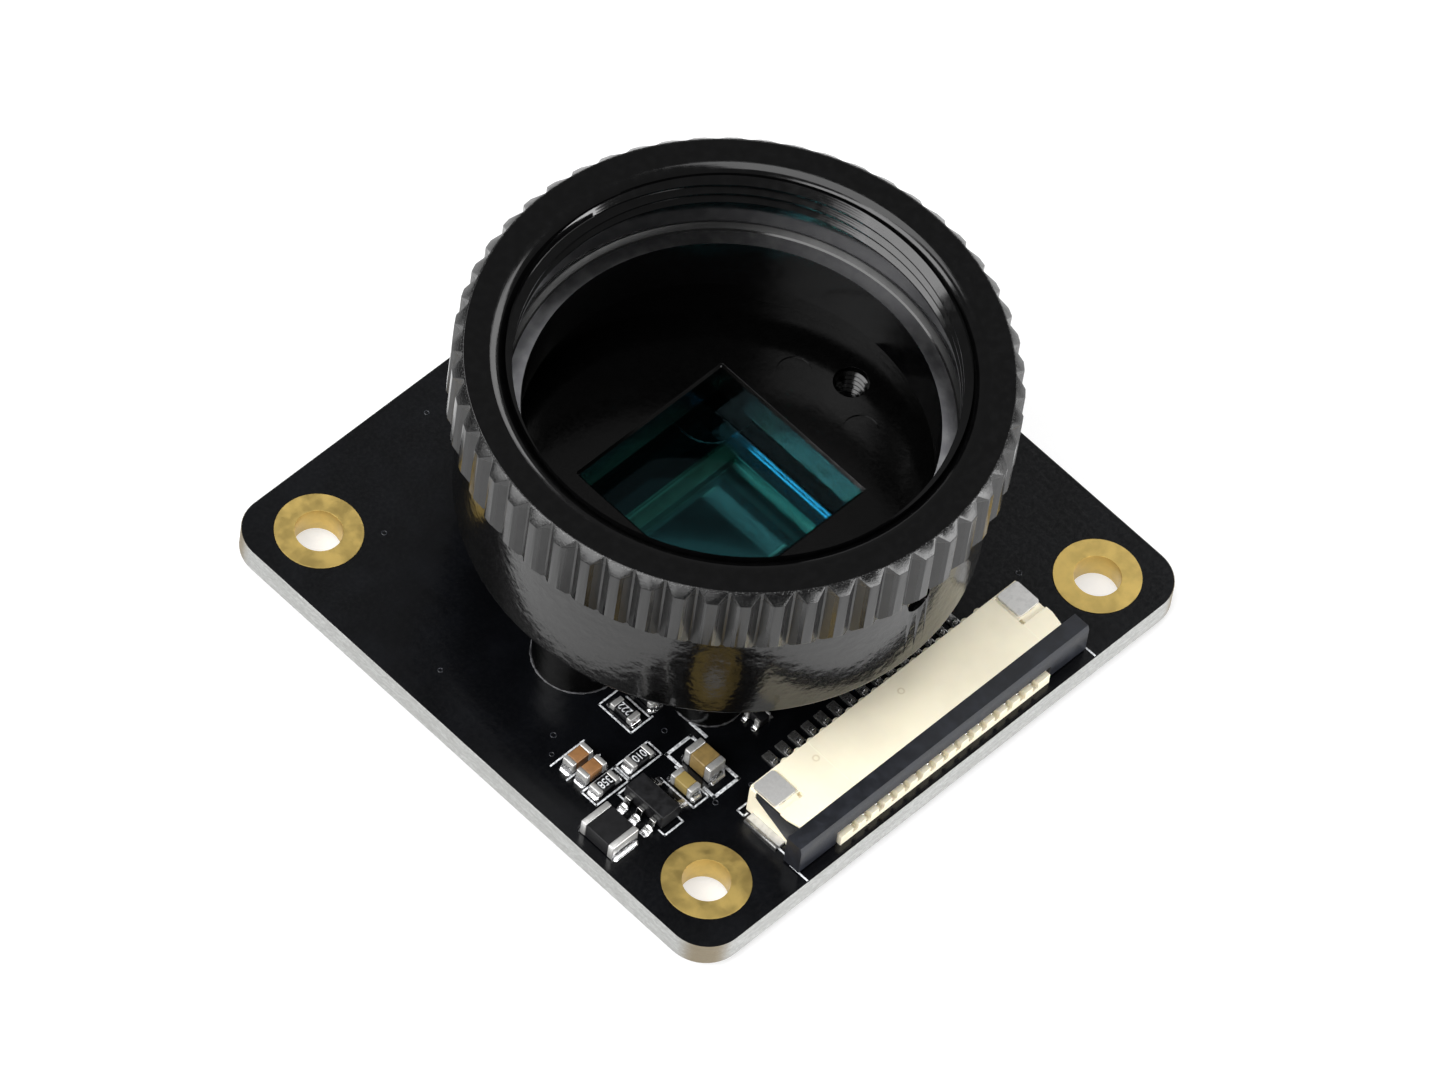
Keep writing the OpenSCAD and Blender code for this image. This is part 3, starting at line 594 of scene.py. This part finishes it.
RECIPES = {
    "board_black": board_finish,
    "gold_plate": gold_finish,
    "holder_black": holder_finish,
    "ring_black": ring_finish,
    "seat_land": seat_finish,
    "black_screw": lambda: plain_finish("black_oxide", (0.012, 0.012, 0.013), 0.38, 0.06, 0.004, 1.8, 0.6),
    "filter_glass": lambda: glass_finish("filter_glass", setting("module_finish").glass, (0.55, 0.9, 1.0),
                                         1.36),
    "cover_glass": lambda: glass_finish("cover_glass", (0.97, 0.985, 0.985), (0.8, 0.95, 1.0), 1.3),
    "sensor_ceramic": package_finish,
    "sensor_silicon": die_finish,
    "housing_ivory": ivory_finish,
    "latch_black": lambda: plain_finish("blue_black_nylon", "latch", 0.42, 0.09, 0.004, 2.0),
    "contact_tin": lambda: tin_finish("contact_tin", 0.2, 0.75),
    "tab_steel": lambda: tin_finish("tab_plating", 0.44, 0.86, 0.55),
    "end_tin": lambda: tin_finish("cap_tin", 0.38, 0.8, 0.7),
    "pad_solder": lambda: tin_finish("pad_solder", 0.3, 0.6, 0.9, 0.5),
    "solder": solder_finish,
    "moulded_epoxy": lambda: plain_finish("moulded_epoxy", (0.0042, 0.0042, 0.0048), 0.46, 0.05, 0.006, 2.2,
                                          Specular_IOR_Level=0.4),
    "inductor_ferrite": lambda: plain_finish("pressed_ferrite", (0.004, 0.004, 0.0046), 0.5, 0.05, 0.006, 1.6,
                                             Specular_IOR_Level=0.3),
    "capacitor_ochre": lambda: plain_finish("ochre_ceramic", "ochre", 0.4, 0.05, 0.004, 0.78),
    "capacitor_tan": tan_finish,
    "resistor_glaze": lambda: plain_finish("black_glaze", (0.004, 0.004, 0.0045), 0.28, 0.07, 0.004, 2.0),
    "print_ink": ink_finish,
    "seal_bead": lambda: plain_finish("clear_seal", (0.03, 0.03, 0.032), 0.22, 0.08, 0.02, 3.0),
    "via_mask": lambda: plain_finish("tented_via", (0.010, 0.011, 0.014), 0.25, 0.05, 0.006, 2.4),
}


# ---- modelling helpers


def clear_selection():
    if bpy.context.object is not None and bpy.context.object.mode != "OBJECT":
        bpy.ops.object.mode_set(mode="OBJECT")
    bpy.ops.object.select_all(action="DESELECT")


def only(*objects):
    """Selects these objects alone; the first is active."""
    clear_selection()
    for o in objects:
        o.select_set(True)
    bpy.context.view_layer.objects.active = objects[0]


def pick(obj, test=lambda e: True, mode="FACE"):
    """In edit mode, selects the faces, edges or vertices that pass the test, or all of them."""
    only(obj)
    bpy.ops.object.mode_set(mode="EDIT")
    bpy.ops.mesh.select_mode(type=mode)
    bpy.ops.mesh.select_all(action="DESELECT")
    bm = bmesh.from_edit_mesh(obj.data)
    for e in {"FACE": bm.faces, "EDGE": bm.edges, "VERT": bm.verts}[mode]:
        if test(e):
            e.select_set(True)
    bm.select_flush_mode()
    bmesh.update_edit_mesh(obj.data)


def object_mode():
    bpy.ops.object.mode_set(mode="OBJECT")


def set_place(obj):
    """Puts the object's place, turn and scale into its mesh."""
    only(obj)
    bpy.ops.object.transform_apply(location=True, rotation=True, scale=True)


def primitive(kind, scale=(1.0, 1.0, 1.0), **settings):
    """A mesh primitive with its place, turn and scale in its mesh."""
    clear_selection()
    getattr(bpy.ops.mesh, "primitive_%s_add" % kind)(**settings)
    obj = bpy.context.object
    obj.scale = scale
    set_place(obj)
    return obj


def modify(obj, kind, **settings):
    """Adds a modifier and applies it."""
    only(obj)
    m = obj.modifiers.new(kind.lower(), kind)
    for key, value in settings.items():
        setattr(m, key, value)
    bpy.ops.object.modifier_apply(modifier=m.name)


def smooth(obj, degrees=35.0):
    only(obj)
    bpy.ops.object.shade_smooth_by_angle(angle=math.radians(degrees))


def recalc(obj):
    """Faces outwards, with doubles merged."""
    pick(obj)
    bpy.ops.mesh.remove_doubles(threshold=1e-7)
    bpy.ops.mesh.select_all(action="SELECT")
    bpy.ops.mesh.normals_make_consistent(inside=False)
    object_mode()


def joined(objects):
    only(*objects)
    if len(objects) > 1:
        bpy.ops.object.join()
    return bpy.context.object


def copy_of(obj, matrix):
    """A copy with its own mesh, moved by the matrix."""
    only(obj)
    bpy.ops.object.duplicate()
    new = bpy.context.object
    new.data.transform(matrix)
    return new


def piece(obj, name, body, slot, finish_name=None):
    """Names a finished piece, gives it its finish and its body."""
    obj.name = name
    obj.data.name = name
    obj.data.materials.clear()
    obj.data.materials.append(finish(finish_name or slot))
    for p in obj.data.polygons:
        p.material_index = 0
    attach(obj, body)
    return obj


def softened(node, name, width, segments=2, finish_name=None, angle=28.0, smooth_angle=35.0, rounds=(),
             window=None):
    """A copy of a CAD node with its sharp edges rounded by width millimetres, which stands for it.

    Each of the rounds, as (test of an edge, width in millimetres), is a larger rounding made first.
    Faces that pass the window test have an opening in them. They are cut into triangles first,
    because the rounding would close the opening.
    """
    only(frame["nodes"][node])
    bpy.ops.object.duplicate()
    new = bpy.context.object
    new.parent = None
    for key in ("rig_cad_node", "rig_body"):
        if key in new:
            del new[key]
    pick(new)
    bpy.ops.mesh.remove_doubles(threshold=2e-7)
    bpy.ops.mesh.select_all(action="SELECT")
    bpy.ops.mesh.customdata_custom_splitnormals_clear()
    bpy.ops.mesh.dissolve_limited(angle_limit=math.radians(0.4))
    object_mode()
    if window is not None:
        pick(new, window)
        bpy.ops.mesh.quads_convert_to_tris(quad_method="BEAUTY", ngon_method="BEAUTY")
        object_mode()
    for test, wide in rounds:
        pick(new, test, "EDGE")
        bpy.ops.mesh.bevel(offset=wide * MM, offset_type="OFFSET", segments=5, affect="EDGES",
                           clamp_overlap=True)
        object_mode()
    modify(new, "BEVEL", width=width * MM, segments=segments, limit_method="ANGLE",
           angle_limit=math.radians(angle), use_clamp_overlap=True, harden_normals=False,
           miter_outer="MITER_ARC")
    smooth(new, smooth_angle)
    modify(new, "WEIGHTED_NORMAL", keep_sharp=True, weight=50)
    record = next(p for p in frame["record"]["subparts"] if p["node"] == node)
    body = next(b for b, names in frame["record"]["behaviour"]["bodies"].items() if node in names)
    piece(new, name, body, record["material_slot"], finish_name)
    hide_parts(node)
    return new


def solids(node):
    """The lowest and highest corner of each solid of a CAD node."""
    mesh = frame["nodes"][node].data
    owner = {}
    keys = [tuple(round(c / 1e-7) for c in v.co) for v in mesh.vertices]

    def root(k):
        while owner.setdefault(k, k) != k:
            owner[k] = owner[owner[k]]
            k = owner[k]
        return k

    for p in mesh.polygons:
        first = root(keys[p.vertices[0]])
        for i in p.vertices[1:]:
            owner[root(keys[i])] = first
    boxes = {}
    for v, k in zip(mesh.vertices, keys):
        lo, hi = boxes.setdefault(root(k), [Vector((1e9,) * 3), Vector((-1e9,) * 3)])
        for i in range(3):
            lo[i] = min(lo[i], v.co[i])
            hi[i] = max(hi[i], v.co[i])
    return sorted(boxes.values(), key=lambda b: tuple(round(c, 6) for c in b[0]))


def helix(name, wall, depth, pitch, low, high, centre=(0.0, 0.0), start=0.0, crest=0.17, steps=160,
          fade=0.22):
    """An inner thread's ridge: a V outline swept up and round, which runs out into the wall at both ends."""
    turns = (high - low) / pitch
    obj = primitive("plane", size=1.0, rotation=(math.pi / 2, 0.0, 0.0))
    pick(obj)
    bpy.ops.transform.resize(value=(depth + SUNK, 1.0, pitch * 0.875), center_override=(0, 0, 0))
    bpy.ops.transform.translate(value=(wall + SUNK - (depth + SUNK) / 2, 0.0, 0.0))
    object_mode()
    pick(obj, lambda v: v.co.x < wall - depth / 2, "VERT")
    bpy.ops.transform.resize(value=(1.0, 1.0, crest), center_override=(0, 0, 0))
    object_mode()
    pick(obj)
    bpy.ops.mesh.delete(type="ONLY_FACE")
    object_mode()
    modify(obj, "SCREW", axis="Z", angle=2 * math.pi, screw_offset=pitch, iterations=math.ceil(turns),
           steps=steps, render_steps=steps, use_smooth_shade=False, use_normal_calculate=False)
    for v in obj.data.vertices:
        # the height on the helix gives how far along the thread a vertex lies
        a = math.atan2(v.co.y, v.co.x) % (2 * math.pi)
        r = math.hypot(v.co.x, v.co.y)
        climb = v.co.z / pitch
        turn = round(climb - a / (2 * math.pi))
        along = turn + a / (2 * math.pi)
        grow = max(0.0, min(1.0, along / fade, (turns - along) / fade))
        rest = v.co.z - along * pitch
        if r < wall:
            r = wall + SUNK - (wall + SUNK - r) * max(grow, 0.02)
        over = max(0.0, along - turns)
        v.co = (r * math.cos(a + start), r * math.sin(a + start), low + (along - over) * pitch + rest)
    obj.data.transform(Matrix.Translation((centre[0], centre[1], 0.0)))
    pick(obj, lambda e: e.is_boundary, "EDGE")
    bpy.ops.mesh.fill_holes(sides=0)
    object_mode()
    recalc(obj)
    smooth(obj, 40.0)
    obj.name = name
    return obj


def bar(start, end, width, low, high):
    """A flat bar from start to end, used for printed lines."""
    a, b = Vector((*start, 0.0)), Vector((*end, 0.0))
    d = b - a
    return primitive("cube", (d.length + width, width, high - low), size=1.0,
                     rotation=(0.0, 0.0, math.atan2(d.y, d.x)),
                     location=((a.x + b.x) / 2, (a.y + b.y) / 2, (low + high) / 2))


def middle_x(node):
    """X of the middle of a CAD node."""
    lo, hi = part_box(node)
    return (lo.x + hi.x) / 2


# ---- operators


class DressOperator:
    """What the module's operators share: CAD nodes get rounded edges, then the rest is added."""

    bl_options = {"REGISTER", "UNDO"}
    # arguments of softened(), one row for each node
    rounded = ()

    def dress(self, context):
        """What an operator does beside rounding edges."""

    def execute(self, context):
        for row in self.rounded:
            softened(*row)
        self.dress(context)
        return {"FINISHED"}


class MODULE_OT_board(DressOperator, bpy.types.Operator):
    """Finishes the board and its plated holes"""

    bl_idname = "module.board"
    bl_label = "Board and gold lands"
    rounded = (
        ("circuit_board", "board", 0.03, 1),
        ("mounting_lands", "gold_lands", 0.02),
    )


class MODULE_OT_holder(DressOperator, bpy.types.Operator):
    """Finishes the lens holder, its screws and its set screw"""

    bl_idname = "module.holder"
    bl_label = "Lens holder"

    def dress(self, context):
        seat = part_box("ir_filter")[0].z
        softened("lens_holder", "holder", 0.06, angle=40.0,
                 window=lambda f: abs(f.normal.z) > 0.9 and abs(f.calc_center_median().z - seat) < 0.05 * MM)
        softened("holder_screws", "screws", 0.05)
        softened("set_screw", "grub_screw", 0.03)


class MODULE_OT_ring(DressOperator, bpy.types.Operator):
    """Finishes the knurled adapter ring and adds its turned land"""

    bl_idname = "module.ring"
    bl_label = "Adapter ring"

    def dress(self, context):
        t = setting("module_thread")
        mouth = [(t.bore, RING_TOP - 0.6 * MM), (t.bore + 0.6 * MM, RING_TOP)]
        rounds = [(lambda e, r=r, z=z: all(abs(math.hypot(v.co.x, v.co.y) - r) < 0.03 * MM
                                           and abs(v.co.z - z) < 0.02 * MM for v in e.verts), 0.36)
                  for r, z in mouth]
        softened("adapter_ring", "knurled_ring", 0.035, angle=24.0, smooth_angle=30.0, rounds=rounds)
        wide = t.bore - 0.35 * MM
        land = primitive("cylinder", vertices=192, radius=wide, depth=LAND_SKIN, end_fill_type="NGON")
        pick(land, lambda f: abs(f.normal.z) > 0.9)
        bpy.ops.mesh.inset(thickness=wide - LAND_RADIUS, use_even_offset=True)
        bpy.ops.mesh.bridge_edge_loops()
        object_mode()
        floor = min(v.co.z for v in land.data.vertices)
        seat = RING_TOP - LAND_DEPTH
        land.data.transform(Matrix.Translation((0.0, 0.0, seat - floor - 0.002 * MM)))
        recalc(land)
        smooth(land)
        piece(land, "turned_land", "adapter", "ring_black", "seat_land")


class MODULE_OT_threads(DressOperator, bpy.types.Operator):
    """Cuts the lens thread and the threads of the two screw bosses"""

    bl_idname = "module.threads"
    bl_label = "Threads"

    def dress(self, context):
        t = setting("module_thread")
        ridge = helix("lens_thread", t.bore, t.depth, t.pitch, RING_TOP - t.low, RING_TOP - t.high,
                      start=math.radians(75.0))
        piece(ridge, "lens_thread", "adapter", "ring_black")
        parts = []
        for lo, hi in solids("holder_screws"):
            parts.append(helix("boss", HOLE_RADIUS, t.boss_depth, t.boss_pitch, hi.z + 0.2 * MM,
                               BOARD_TOP + HOLE_TOP - 0.2 * MM, ((lo.x + hi.x) / 2, (lo.y + hi.y) / 2),
                               0.0, 0.2, 40))
        piece(joined(parts), "boss_threads", "module", "holder_black")


class MODULE_OT_optics(DressOperator, bpy.types.Operator):
    """Finishes the filter, the sensor and its cover glass"""

    bl_idname = "module.optics"
    bl_label = "Filter and sensor"
    rounded = (
        ("ir_filter", "filter_glass", 0.06),
        ("sensor_cover", "cover_glass", 0.05),
        ("sensor_package", "sensor_base", 0.04),
        ("sensor_die", "sensor_die_face", 0.02, 1),
    )


class MODULE_OT_connector(DressOperator, bpy.types.Operator):
    """Finishes the flex connector, its latch, contacts and tabs"""

    bl_idname = "module.connector"
    bl_label = "Flex connector"
    rounded = (
        ("flex_housing", "connector_housing", 0.04),
        ("flex_latch", "connector_latch", 0.06),
        ("flex_contacts", "connector_contacts", 0.02, 1),
        ("flex_tabs", "connector_tabs", 0.05),
        ("flex_solder", "connector_solder", 0.05, 2, "pad_solder"),
    )


class MODULE_OT_chips(DressOperator, bpy.types.Operator):
    """Finishes the small parts near the board's corner"""

    bl_idname = "module.chips"
    bl_label = "Small parts"
    rounded = (
        ("regulator_body", "regulator_case", 0.04, 3),
        ("regulator_leads", "regulator_legs", 0.025, 3),
        ("inductor_body", "inductor_core", 0.05, 3),
        ("inductor_ends", "inductor_caps", 0.08, 3),
        ("bulk_capacitor_body", "large_capacitor", 0.07, 3),
        ("bulk_capacitor_ends", "large_capacitor_caps", 0.1, 3),
        ("capacitor_bodies", "small_capacitors", 0.05, 3),
        ("capacitor_ends", "small_capacitor_caps", 0.07, 3),
        ("resistor_bodies", "resistors", 0.03, 3),
        ("resistor_ends", "resistor_caps", 0.06, 3),
        ("line_filter_body", "line_filter_core", 0.04, 3),
        ("line_filter_ends", "line_filter_legs", 0.03, 3),
    )


class MODULE_OT_solder(DressOperator, bpy.types.Operator):
    """Replaces the plain solder with wetted fillets"""

    bl_idname = "module.solder"
    bl_label = "Solder joints"

    def fillet(self):
        """One fillet: X runs out from the cap, from 0 to 1; Y is centred; Z is up."""
        obj = primitive("cube", size=1.0, location=(0.5, 0.0, 0.5))
        pick(obj)
        bpy.ops.mesh.subdivide(number_cuts=5)
        object_mode()
        for v in obj.data.vertices:
            x, y, z = v.co
            hollow = (1.0 - x) ** 2.2
            side = 1.0 - 0.22 * x * x - 0.12 * z
            top = 0.1 + 0.9 * hollow
            crown = 1.0 - 0.5 * (2.0 * y) ** 4 * 0.5
            v.co = (x, y * side, z * top * crown)
        modify(obj, "SUBSURF", levels=1, render_levels=1)
        smooth(obj, 60.0)
        return obj

    def dress(self, context):
        s = setting("module_solder")
        unit = self.fillet()
        made = []

        def wet(x, y, turn, shift, *scale):
            """Puts a fillet on the board, turned, moved outwards by shift and scaled to its size."""
            made.append(copy_of(unit, Matrix.Translation((x, y, BOARD_TOP)) @ Matrix.Rotation(turn, 4, "Z")
                                @ Matrix.Translation((shift, 0.0, 0.0)) @ Matrix.Diagonal((*scale, 1.0))))

        pairs = (("capacitor_bodies", "capacitor_ends"), ("resistor_bodies", "resistor_ends"),
                 ("bulk_capacitor_body", "bulk_capacitor_ends"), ("inductor_body", "inductor_ends"))
        for bodies, ends in pairs:
            centres = [(lo + hi) / 2 for lo, hi in solids(bodies)]
            for i, (lo, hi) in enumerate(solids(ends)):
                mid = (lo + hi) / 2
                near = min(centres, key=lambda c: (c - mid).length)
                away = mid - near
                along_x = abs(away.x) > abs(away.y)
                turn = (0.0 if away.x > 0 else math.pi) if along_x else math.copysign(math.pi / 2, away.y)
                length, width = (hi.x - lo.x, hi.y - lo.y) if along_x else (hi.y - lo.y, hi.x - lo.x)
                tall = (hi.z - BOARD_TOP) * s.climb * (0.92 + 0.16 * ((i * 7) % 5) / 4)
                out = s.reach * (0.9 + 0.2 * ((i * 3) % 4) / 3)
                wet(mid.x, mid.y, turn, length / 2 - 0.03 * MM, out, width * 1.04, tall)
        for lo, hi in solids("regulator_leads"):
            mid = (lo + hi) / 2
            tip, turn = (hi.x, 0.0) if mid.x > middle_x("regulator_body") else (lo.x, math.pi)
            wet(tip, mid.y, turn, -0.3 * MM, 0.62 * MM, 0.6 * MM, 0.3 * MM)
        for lo, hi in solids("line_filter_ends"):
            mid = (lo + hi) / 2
            turn = 0.0 if mid.x > middle_x("line_filter_body") else math.pi
            wet(mid.x, mid.y, turn, 0.03 * MM, 0.32 * MM, 0.42 * MM, 0.34 * MM)
        for i, (lo, hi) in enumerate(solids("flex_contacts")):
            out = s.reach * (1.75 + 0.15 * ((i * 5) % 4))
            wet((lo.x + hi.x) / 2, hi.y - 0.06 * MM, math.pi / 2, 0.0, out, 0.44 * MM, 0.5 * MM)
        # a round blob beside the resistor nearest the skirt
        blob = primitive("uv_sphere", (1.0, 0.85, 0.8), segments=24, ring_count=12, radius=0.3 * MM,
                         location=(-9.7 * MM, -5.3 * MM, BOARD_TOP))
        pick(blob)
        bpy.ops.mesh.bisect(plane_co=(0.0, 0.0, BOARD_TOP), plane_no=(0.0, 0.0, 1.0), use_fill=True,
                            clear_inner=True)
        object_mode()
        smooth(blob)
        made.append(blob)
        bpy.data.objects.remove(unit)
        whole = joined(made)
        piece(whole, "solder_fillets", "module", "solder")
        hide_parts("chip_solder")


# white print: the width's setting, and points on the board in millimetres
STROKES = (
    ("line", ((-16.4, -4.3), (-13.9, -4.3))),
    ("line", ((-16.4, -5.55), (-13.9, -5.55))),
    ("line", ((-16.35, -6.65), (-13.9, -6.65), (-13.9, -7.8), (-16.35, -7.8), (-16.35, -6.65))),
    ("line", ((-13.75, -6.65), (-11.3, -6.65), (-11.3, -7.75), (-13.75, -7.75), (-13.75, -6.65))),
    ("line", ((-11.6, -3.15), (-10.0, -3.15))),
    ("line", ((-11.6, -3.15), (-11.6, -5.65), (-9.95, -5.65))),
    ("line", ((-10.1, -3.8), (-10.1, -5.5))),
    ("line", ((-12.45, -8.85), (-12.45, -11.4), (-11.3, -11.4), (-11.3, -8.85))),
    ("line", ((-14.95, -8.5), (-14.95, -8.05), (-13.6, -8.05))),
    ("line", ((-14.9, -11.2), (-14.9, -11.65), (-13.5, -11.65), (-13.5, -11.2))),
    ("bold", ((-11.1, -9.0), (-11.1, -7.95), (-9.25, -7.95), (-9.25, -8.4))),
    ("bold", ((-11.1, -10.9), (-11.1, -11.65), (-9.25, -11.65), (-9.25, -10.4))),
    ("bold", ((-8.65, -7.35), (-8.65, -8.5))),
    ("line", ((-10.05, -13.1), (-10.75, -13.1), (-10.75, -13.6), (-10.5, -13.6))),
    ("line", ((-10.8, -16.4), (-10.8, -17.0))),
    ("line", ((-11.1, -17.6), (-11.1, -18.85))),
    ("line", ((11.35, -18.2), (11.35, -18.85))),
)


class MODULE_OT_print(DressOperator, bpy.types.Operator):
    """Prints the white outlines on the board and the codes on the resistors"""

    bl_idname = "module.print_lines"
    bl_label = "White print"

    codes: StringProperty(name="Codes", description="Resistor codes, from -X to +X", default="358 010 222")

    def dress(self, context):
        s = setting("module_print")
        bars = []
        for kind, points in STROKES:
            for a, b in zip(points, points[1:]):
                bars.append(bar([c * MM for c in a], [c * MM for c in b], getattr(s, kind),
                                BOARD_TOP - 0.004 * MM, BOARD_TOP + s.build))
        lines = joined(bars)
        modify(lines, "BEVEL", width=s.line * 0.3, segments=2, limit_method="ANGLE",
               angle_limit=math.radians(30.0))
        smooth(lines)
        piece(lines, "board_print", "module", "board_black", "print_ink")
        marks = []
        for (lo, hi), code in zip(solids("resistor_bodies"), self.codes.split()):
            clear_selection()
            bpy.ops.object.text_add()
            text = bpy.context.object
            text.data.body = code
            text.data.size = s.code * 1.35
            text.data.align_x = "CENTER"
            text.data.align_y = "CENTER"
            text.data.extrude = 0.004 * MM
            text.data.offset = 0.006 * MM
            along_y = hi.y - lo.y > hi.x - lo.x
            bpy.ops.object.convert(target="MESH")
            text = bpy.context.object
            turn = Matrix.Rotation(math.pi / 2 if along_y else math.pi, 4, "Z")
            place = Matrix.Translation(((lo.x + hi.x) / 2, (lo.y + hi.y) / 2, hi.z + 0.001 * MM))
            text.data.transform(place @ turn @ Matrix.Diagonal((0.82, 1.0, 1.0, 1.0)))
            marks.append(text)
        digits = joined(marks)
        recalc(digits)
        piece(digits, "resistor_codes", "module", "resistor_glaze", "print_ink")


VIAS = (
    # x, y and radius of the small plated holes that the mask covers, in millimetres
    (-14.9, -2.95, 0.16), (-15.85, -3.8, 0.13), (-10.1, -6.75, 0.15), (-11.3, -11.95, 0.15),
    (12.1, -12.2, 0.16), (-9.0, -12.4, 0.13), (-16.6, 4.2, 0.13), (-12.6, 12.8, 0.14),
    (12.4, 10.6, 0.14), (15.9, -5.2, 0.13), (4.1, 16.7, 0.14), (-5.2, 17.1, 0.13),
)


class MODULE_OT_beads(DressOperator, bpy.types.Operator):
    """Adds the seal round the holder's feet and the vias of the board"""

    bl_idname = "module.beads"
    bl_label = "Seal and vias"

    def bead(self, x, y, radius):
        """An uneven bead of seal round one foot of the holder."""
        obj = primitive("torus", major_radius=radius, minor_radius=setting("module_solder").seal,
                        major_segments=96, minor_segments=10, location=(x, y, BOARD_TOP))
        for v in obj.data.vertices:
            a = math.atan2(v.co.y - y, v.co.x - x)
            swell = 1.0 + 0.28 * math.sin(a * 23.0 + x * 900) + 0.2 * math.sin(a * 57.0 + 1.3)
            r = radius + (math.hypot(v.co.x - x, v.co.y - y) - radius) * swell
            v.co = (x + r * math.cos(a), y + r * math.sin(a), BOARD_TOP + (v.co.z - BOARD_TOP) * swell)
        smooth(obj, 60.0)
        return obj

    def dress(self, context):
        rings = [self.bead(side * BOSS_X, 0.0, 2.6 * MM) for side in (-1, 1)]
        rings += [self.bead(sx * FOOT_XY, sy * FOOT_XY, 2.0 * MM) for sx in (-1, 1) for sy in (-1, 1)]
        piece(joined(rings), "foot_seal", "module", "holder_black", "seal_bead")
        vias = []
        for x, y, r in VIAS:
            vias.append(primitive("torus", major_radius=r * MM, minor_radius=0.035 * MM, major_segments=28,
                                  minor_segments=8, location=(x * MM, y * MM, BOARD_TOP)))
            smooth(vias[-1], 60.0)
        piece(joined(vias), "board_vias", "module", "board_black", "via_mask")


class MODULE_OT_stage(DressOperator, bpy.types.Operator):
    """Adds the pale floor, the soft studio light and the camera"""

    bl_idname = "module.stage"
    bl_label = "Stage"

    def soft_light(self, name, round_z, up, away, power, wide, tall):
        """An area light that faces the module, from an angle round Z and an angle above the floor."""
        flat = math.cos(math.radians(up)) * away
        place = Vector((flat * math.cos(math.radians(round_z)), flat * math.sin(math.radians(round_z)),
                        away * math.sin(math.radians(up))))
        data = bpy.data.lights.new(name, "AREA")
        data.shape = "RECTANGLE"
        data.size, data.size_y = wide, tall
        data.energy = power
        lamp = bpy.data.objects.new(name, data)
        bpy.context.scene.collection.objects.link(lamp)
        lamp.location = place
        lamp.rotation_mode = "QUATERNION"
        lamp.rotation_quaternion = (-place).to_track_quat("-Z", "Y")

    def floor(self):
        """A large pale floor, whose glow only camera, glossy and transmission rays see."""
        floor = primitive("plane", size=8.0, location=(0.0, 0.0, CAD_BOX[0][2] - 0.02 * MM))
        floor.name = "floor"
        f = Finish("pale_floor")
        rays = f.node("ShaderNodeLightPath").outputs
        seen = f.larger(f.larger(rays["Is Camera Ray"], rays["Is Transmission Ray"]), rays["Is Glossy Ray"])
        glow = f.output("ShaderNodeEmission", WHITE, f.times(seen, FLOOR_GLOW))
        diffuse = f.output("ShaderNodeBsdfDiffuse", FLOOR_GREY)
        floor.data.materials.append(f.surface(f.output("ShaderNodeAddShader", diffuse, glow)))

    def room(self):
        world = bpy.data.worlds.new("studio")
        bpy.context.scene.world = world
        world.use_nodes = True
        back = world.node_tree.nodes["Background"]
        back.inputs["Color"].default_value = WHITE
        back.inputs["Strength"].default_value = setting("module_stage").room

    def camera(self):
        data = bpy.data.cameras.new("camera")
        data.lens = 333.0
        data.sensor_width = 36.0
        data.clip_start, data.clip_end = 0.05, 20.0
        camera = bpy.data.objects.new("camera", data)
        bpy.context.scene.collection.objects.link(camera)
        camera.location = (-0.3331555, -0.2584243, 0.6033528)
        camera.rotation_euler = (math.radians(34.73086), math.radians(-5.31414), math.radians(-44.65425))
        bpy.context.scene.camera = camera

    def dress(self, context):
        s = setting("module_stage")
        self.floor()
        self.room()
        self.soft_light("key_light", 168.0, 40.0, 0.9, s.key, 1.12, 0.62)
        self.soft_light("top_light", 130.0, 80.0, 0.9, s.top, 0.6, 0.6)
        self.soft_light("back_light", 5.0, 42.0, 0.85, s.back, 0.45, 0.3)
        self.soft_light("fill_light", 288.0, 11.0, 0.9, s.fill, 1.2, 0.3)
        self.camera()
        context.scene.view_settings.view_transform = "Standard"


ORDER = (
    MODULE_OT_board,
    MODULE_OT_holder,
    MODULE_OT_ring,
    MODULE_OT_threads,
    MODULE_OT_optics,
    MODULE_OT_connector,
    MODULE_OT_chips,
    MODULE_OT_solder,
    MODULE_OT_print,
    MODULE_OT_beads,
    MODULE_OT_stage,
)


class MODULE_PT_dressing(bpy.types.Panel):
    """Lists the module's settings and steps"""

    bl_idname = "MODULE_PT_dressing"
    bl_label = "Camera module"
    bl_space_type = "VIEW_3D"
    bl_region_type = "UI"
    bl_category = "Camera module"

    def draw(self, context):
        for name, group in GROUPS:
            box = self.layout.box()
            box.label(text=group.__doc__.rstrip("."))
            for key in group.__annotations__:
                box.prop(getattr(context.scene, name), key)
        for step in ORDER:
            self.layout.operator(step.bl_idname)


def register():
    for name, group in GROUPS:
        bpy.utils.register_class(group)
        setattr(bpy.types.Scene, name, PointerProperty(type=group))
    for c in (*ORDER, MODULE_PT_dressing):
        bpy.utils.register_class(c)


def unregister():
    for c in reversed((*ORDER, MODULE_PT_dressing)):
        bpy.utils.unregister_class(c)
    for name, group in reversed(GROUPS):
        delattr(bpy.types.Scene, name)
        bpy.utils.unregister_class(group)


def main():
    register()
    for step in ORDER:
        group, name = step.bl_idname.split(".")
        getattr(getattr(bpy.ops, group), name)()
    clear_selection()


if __name__ == "__main__":
    main()
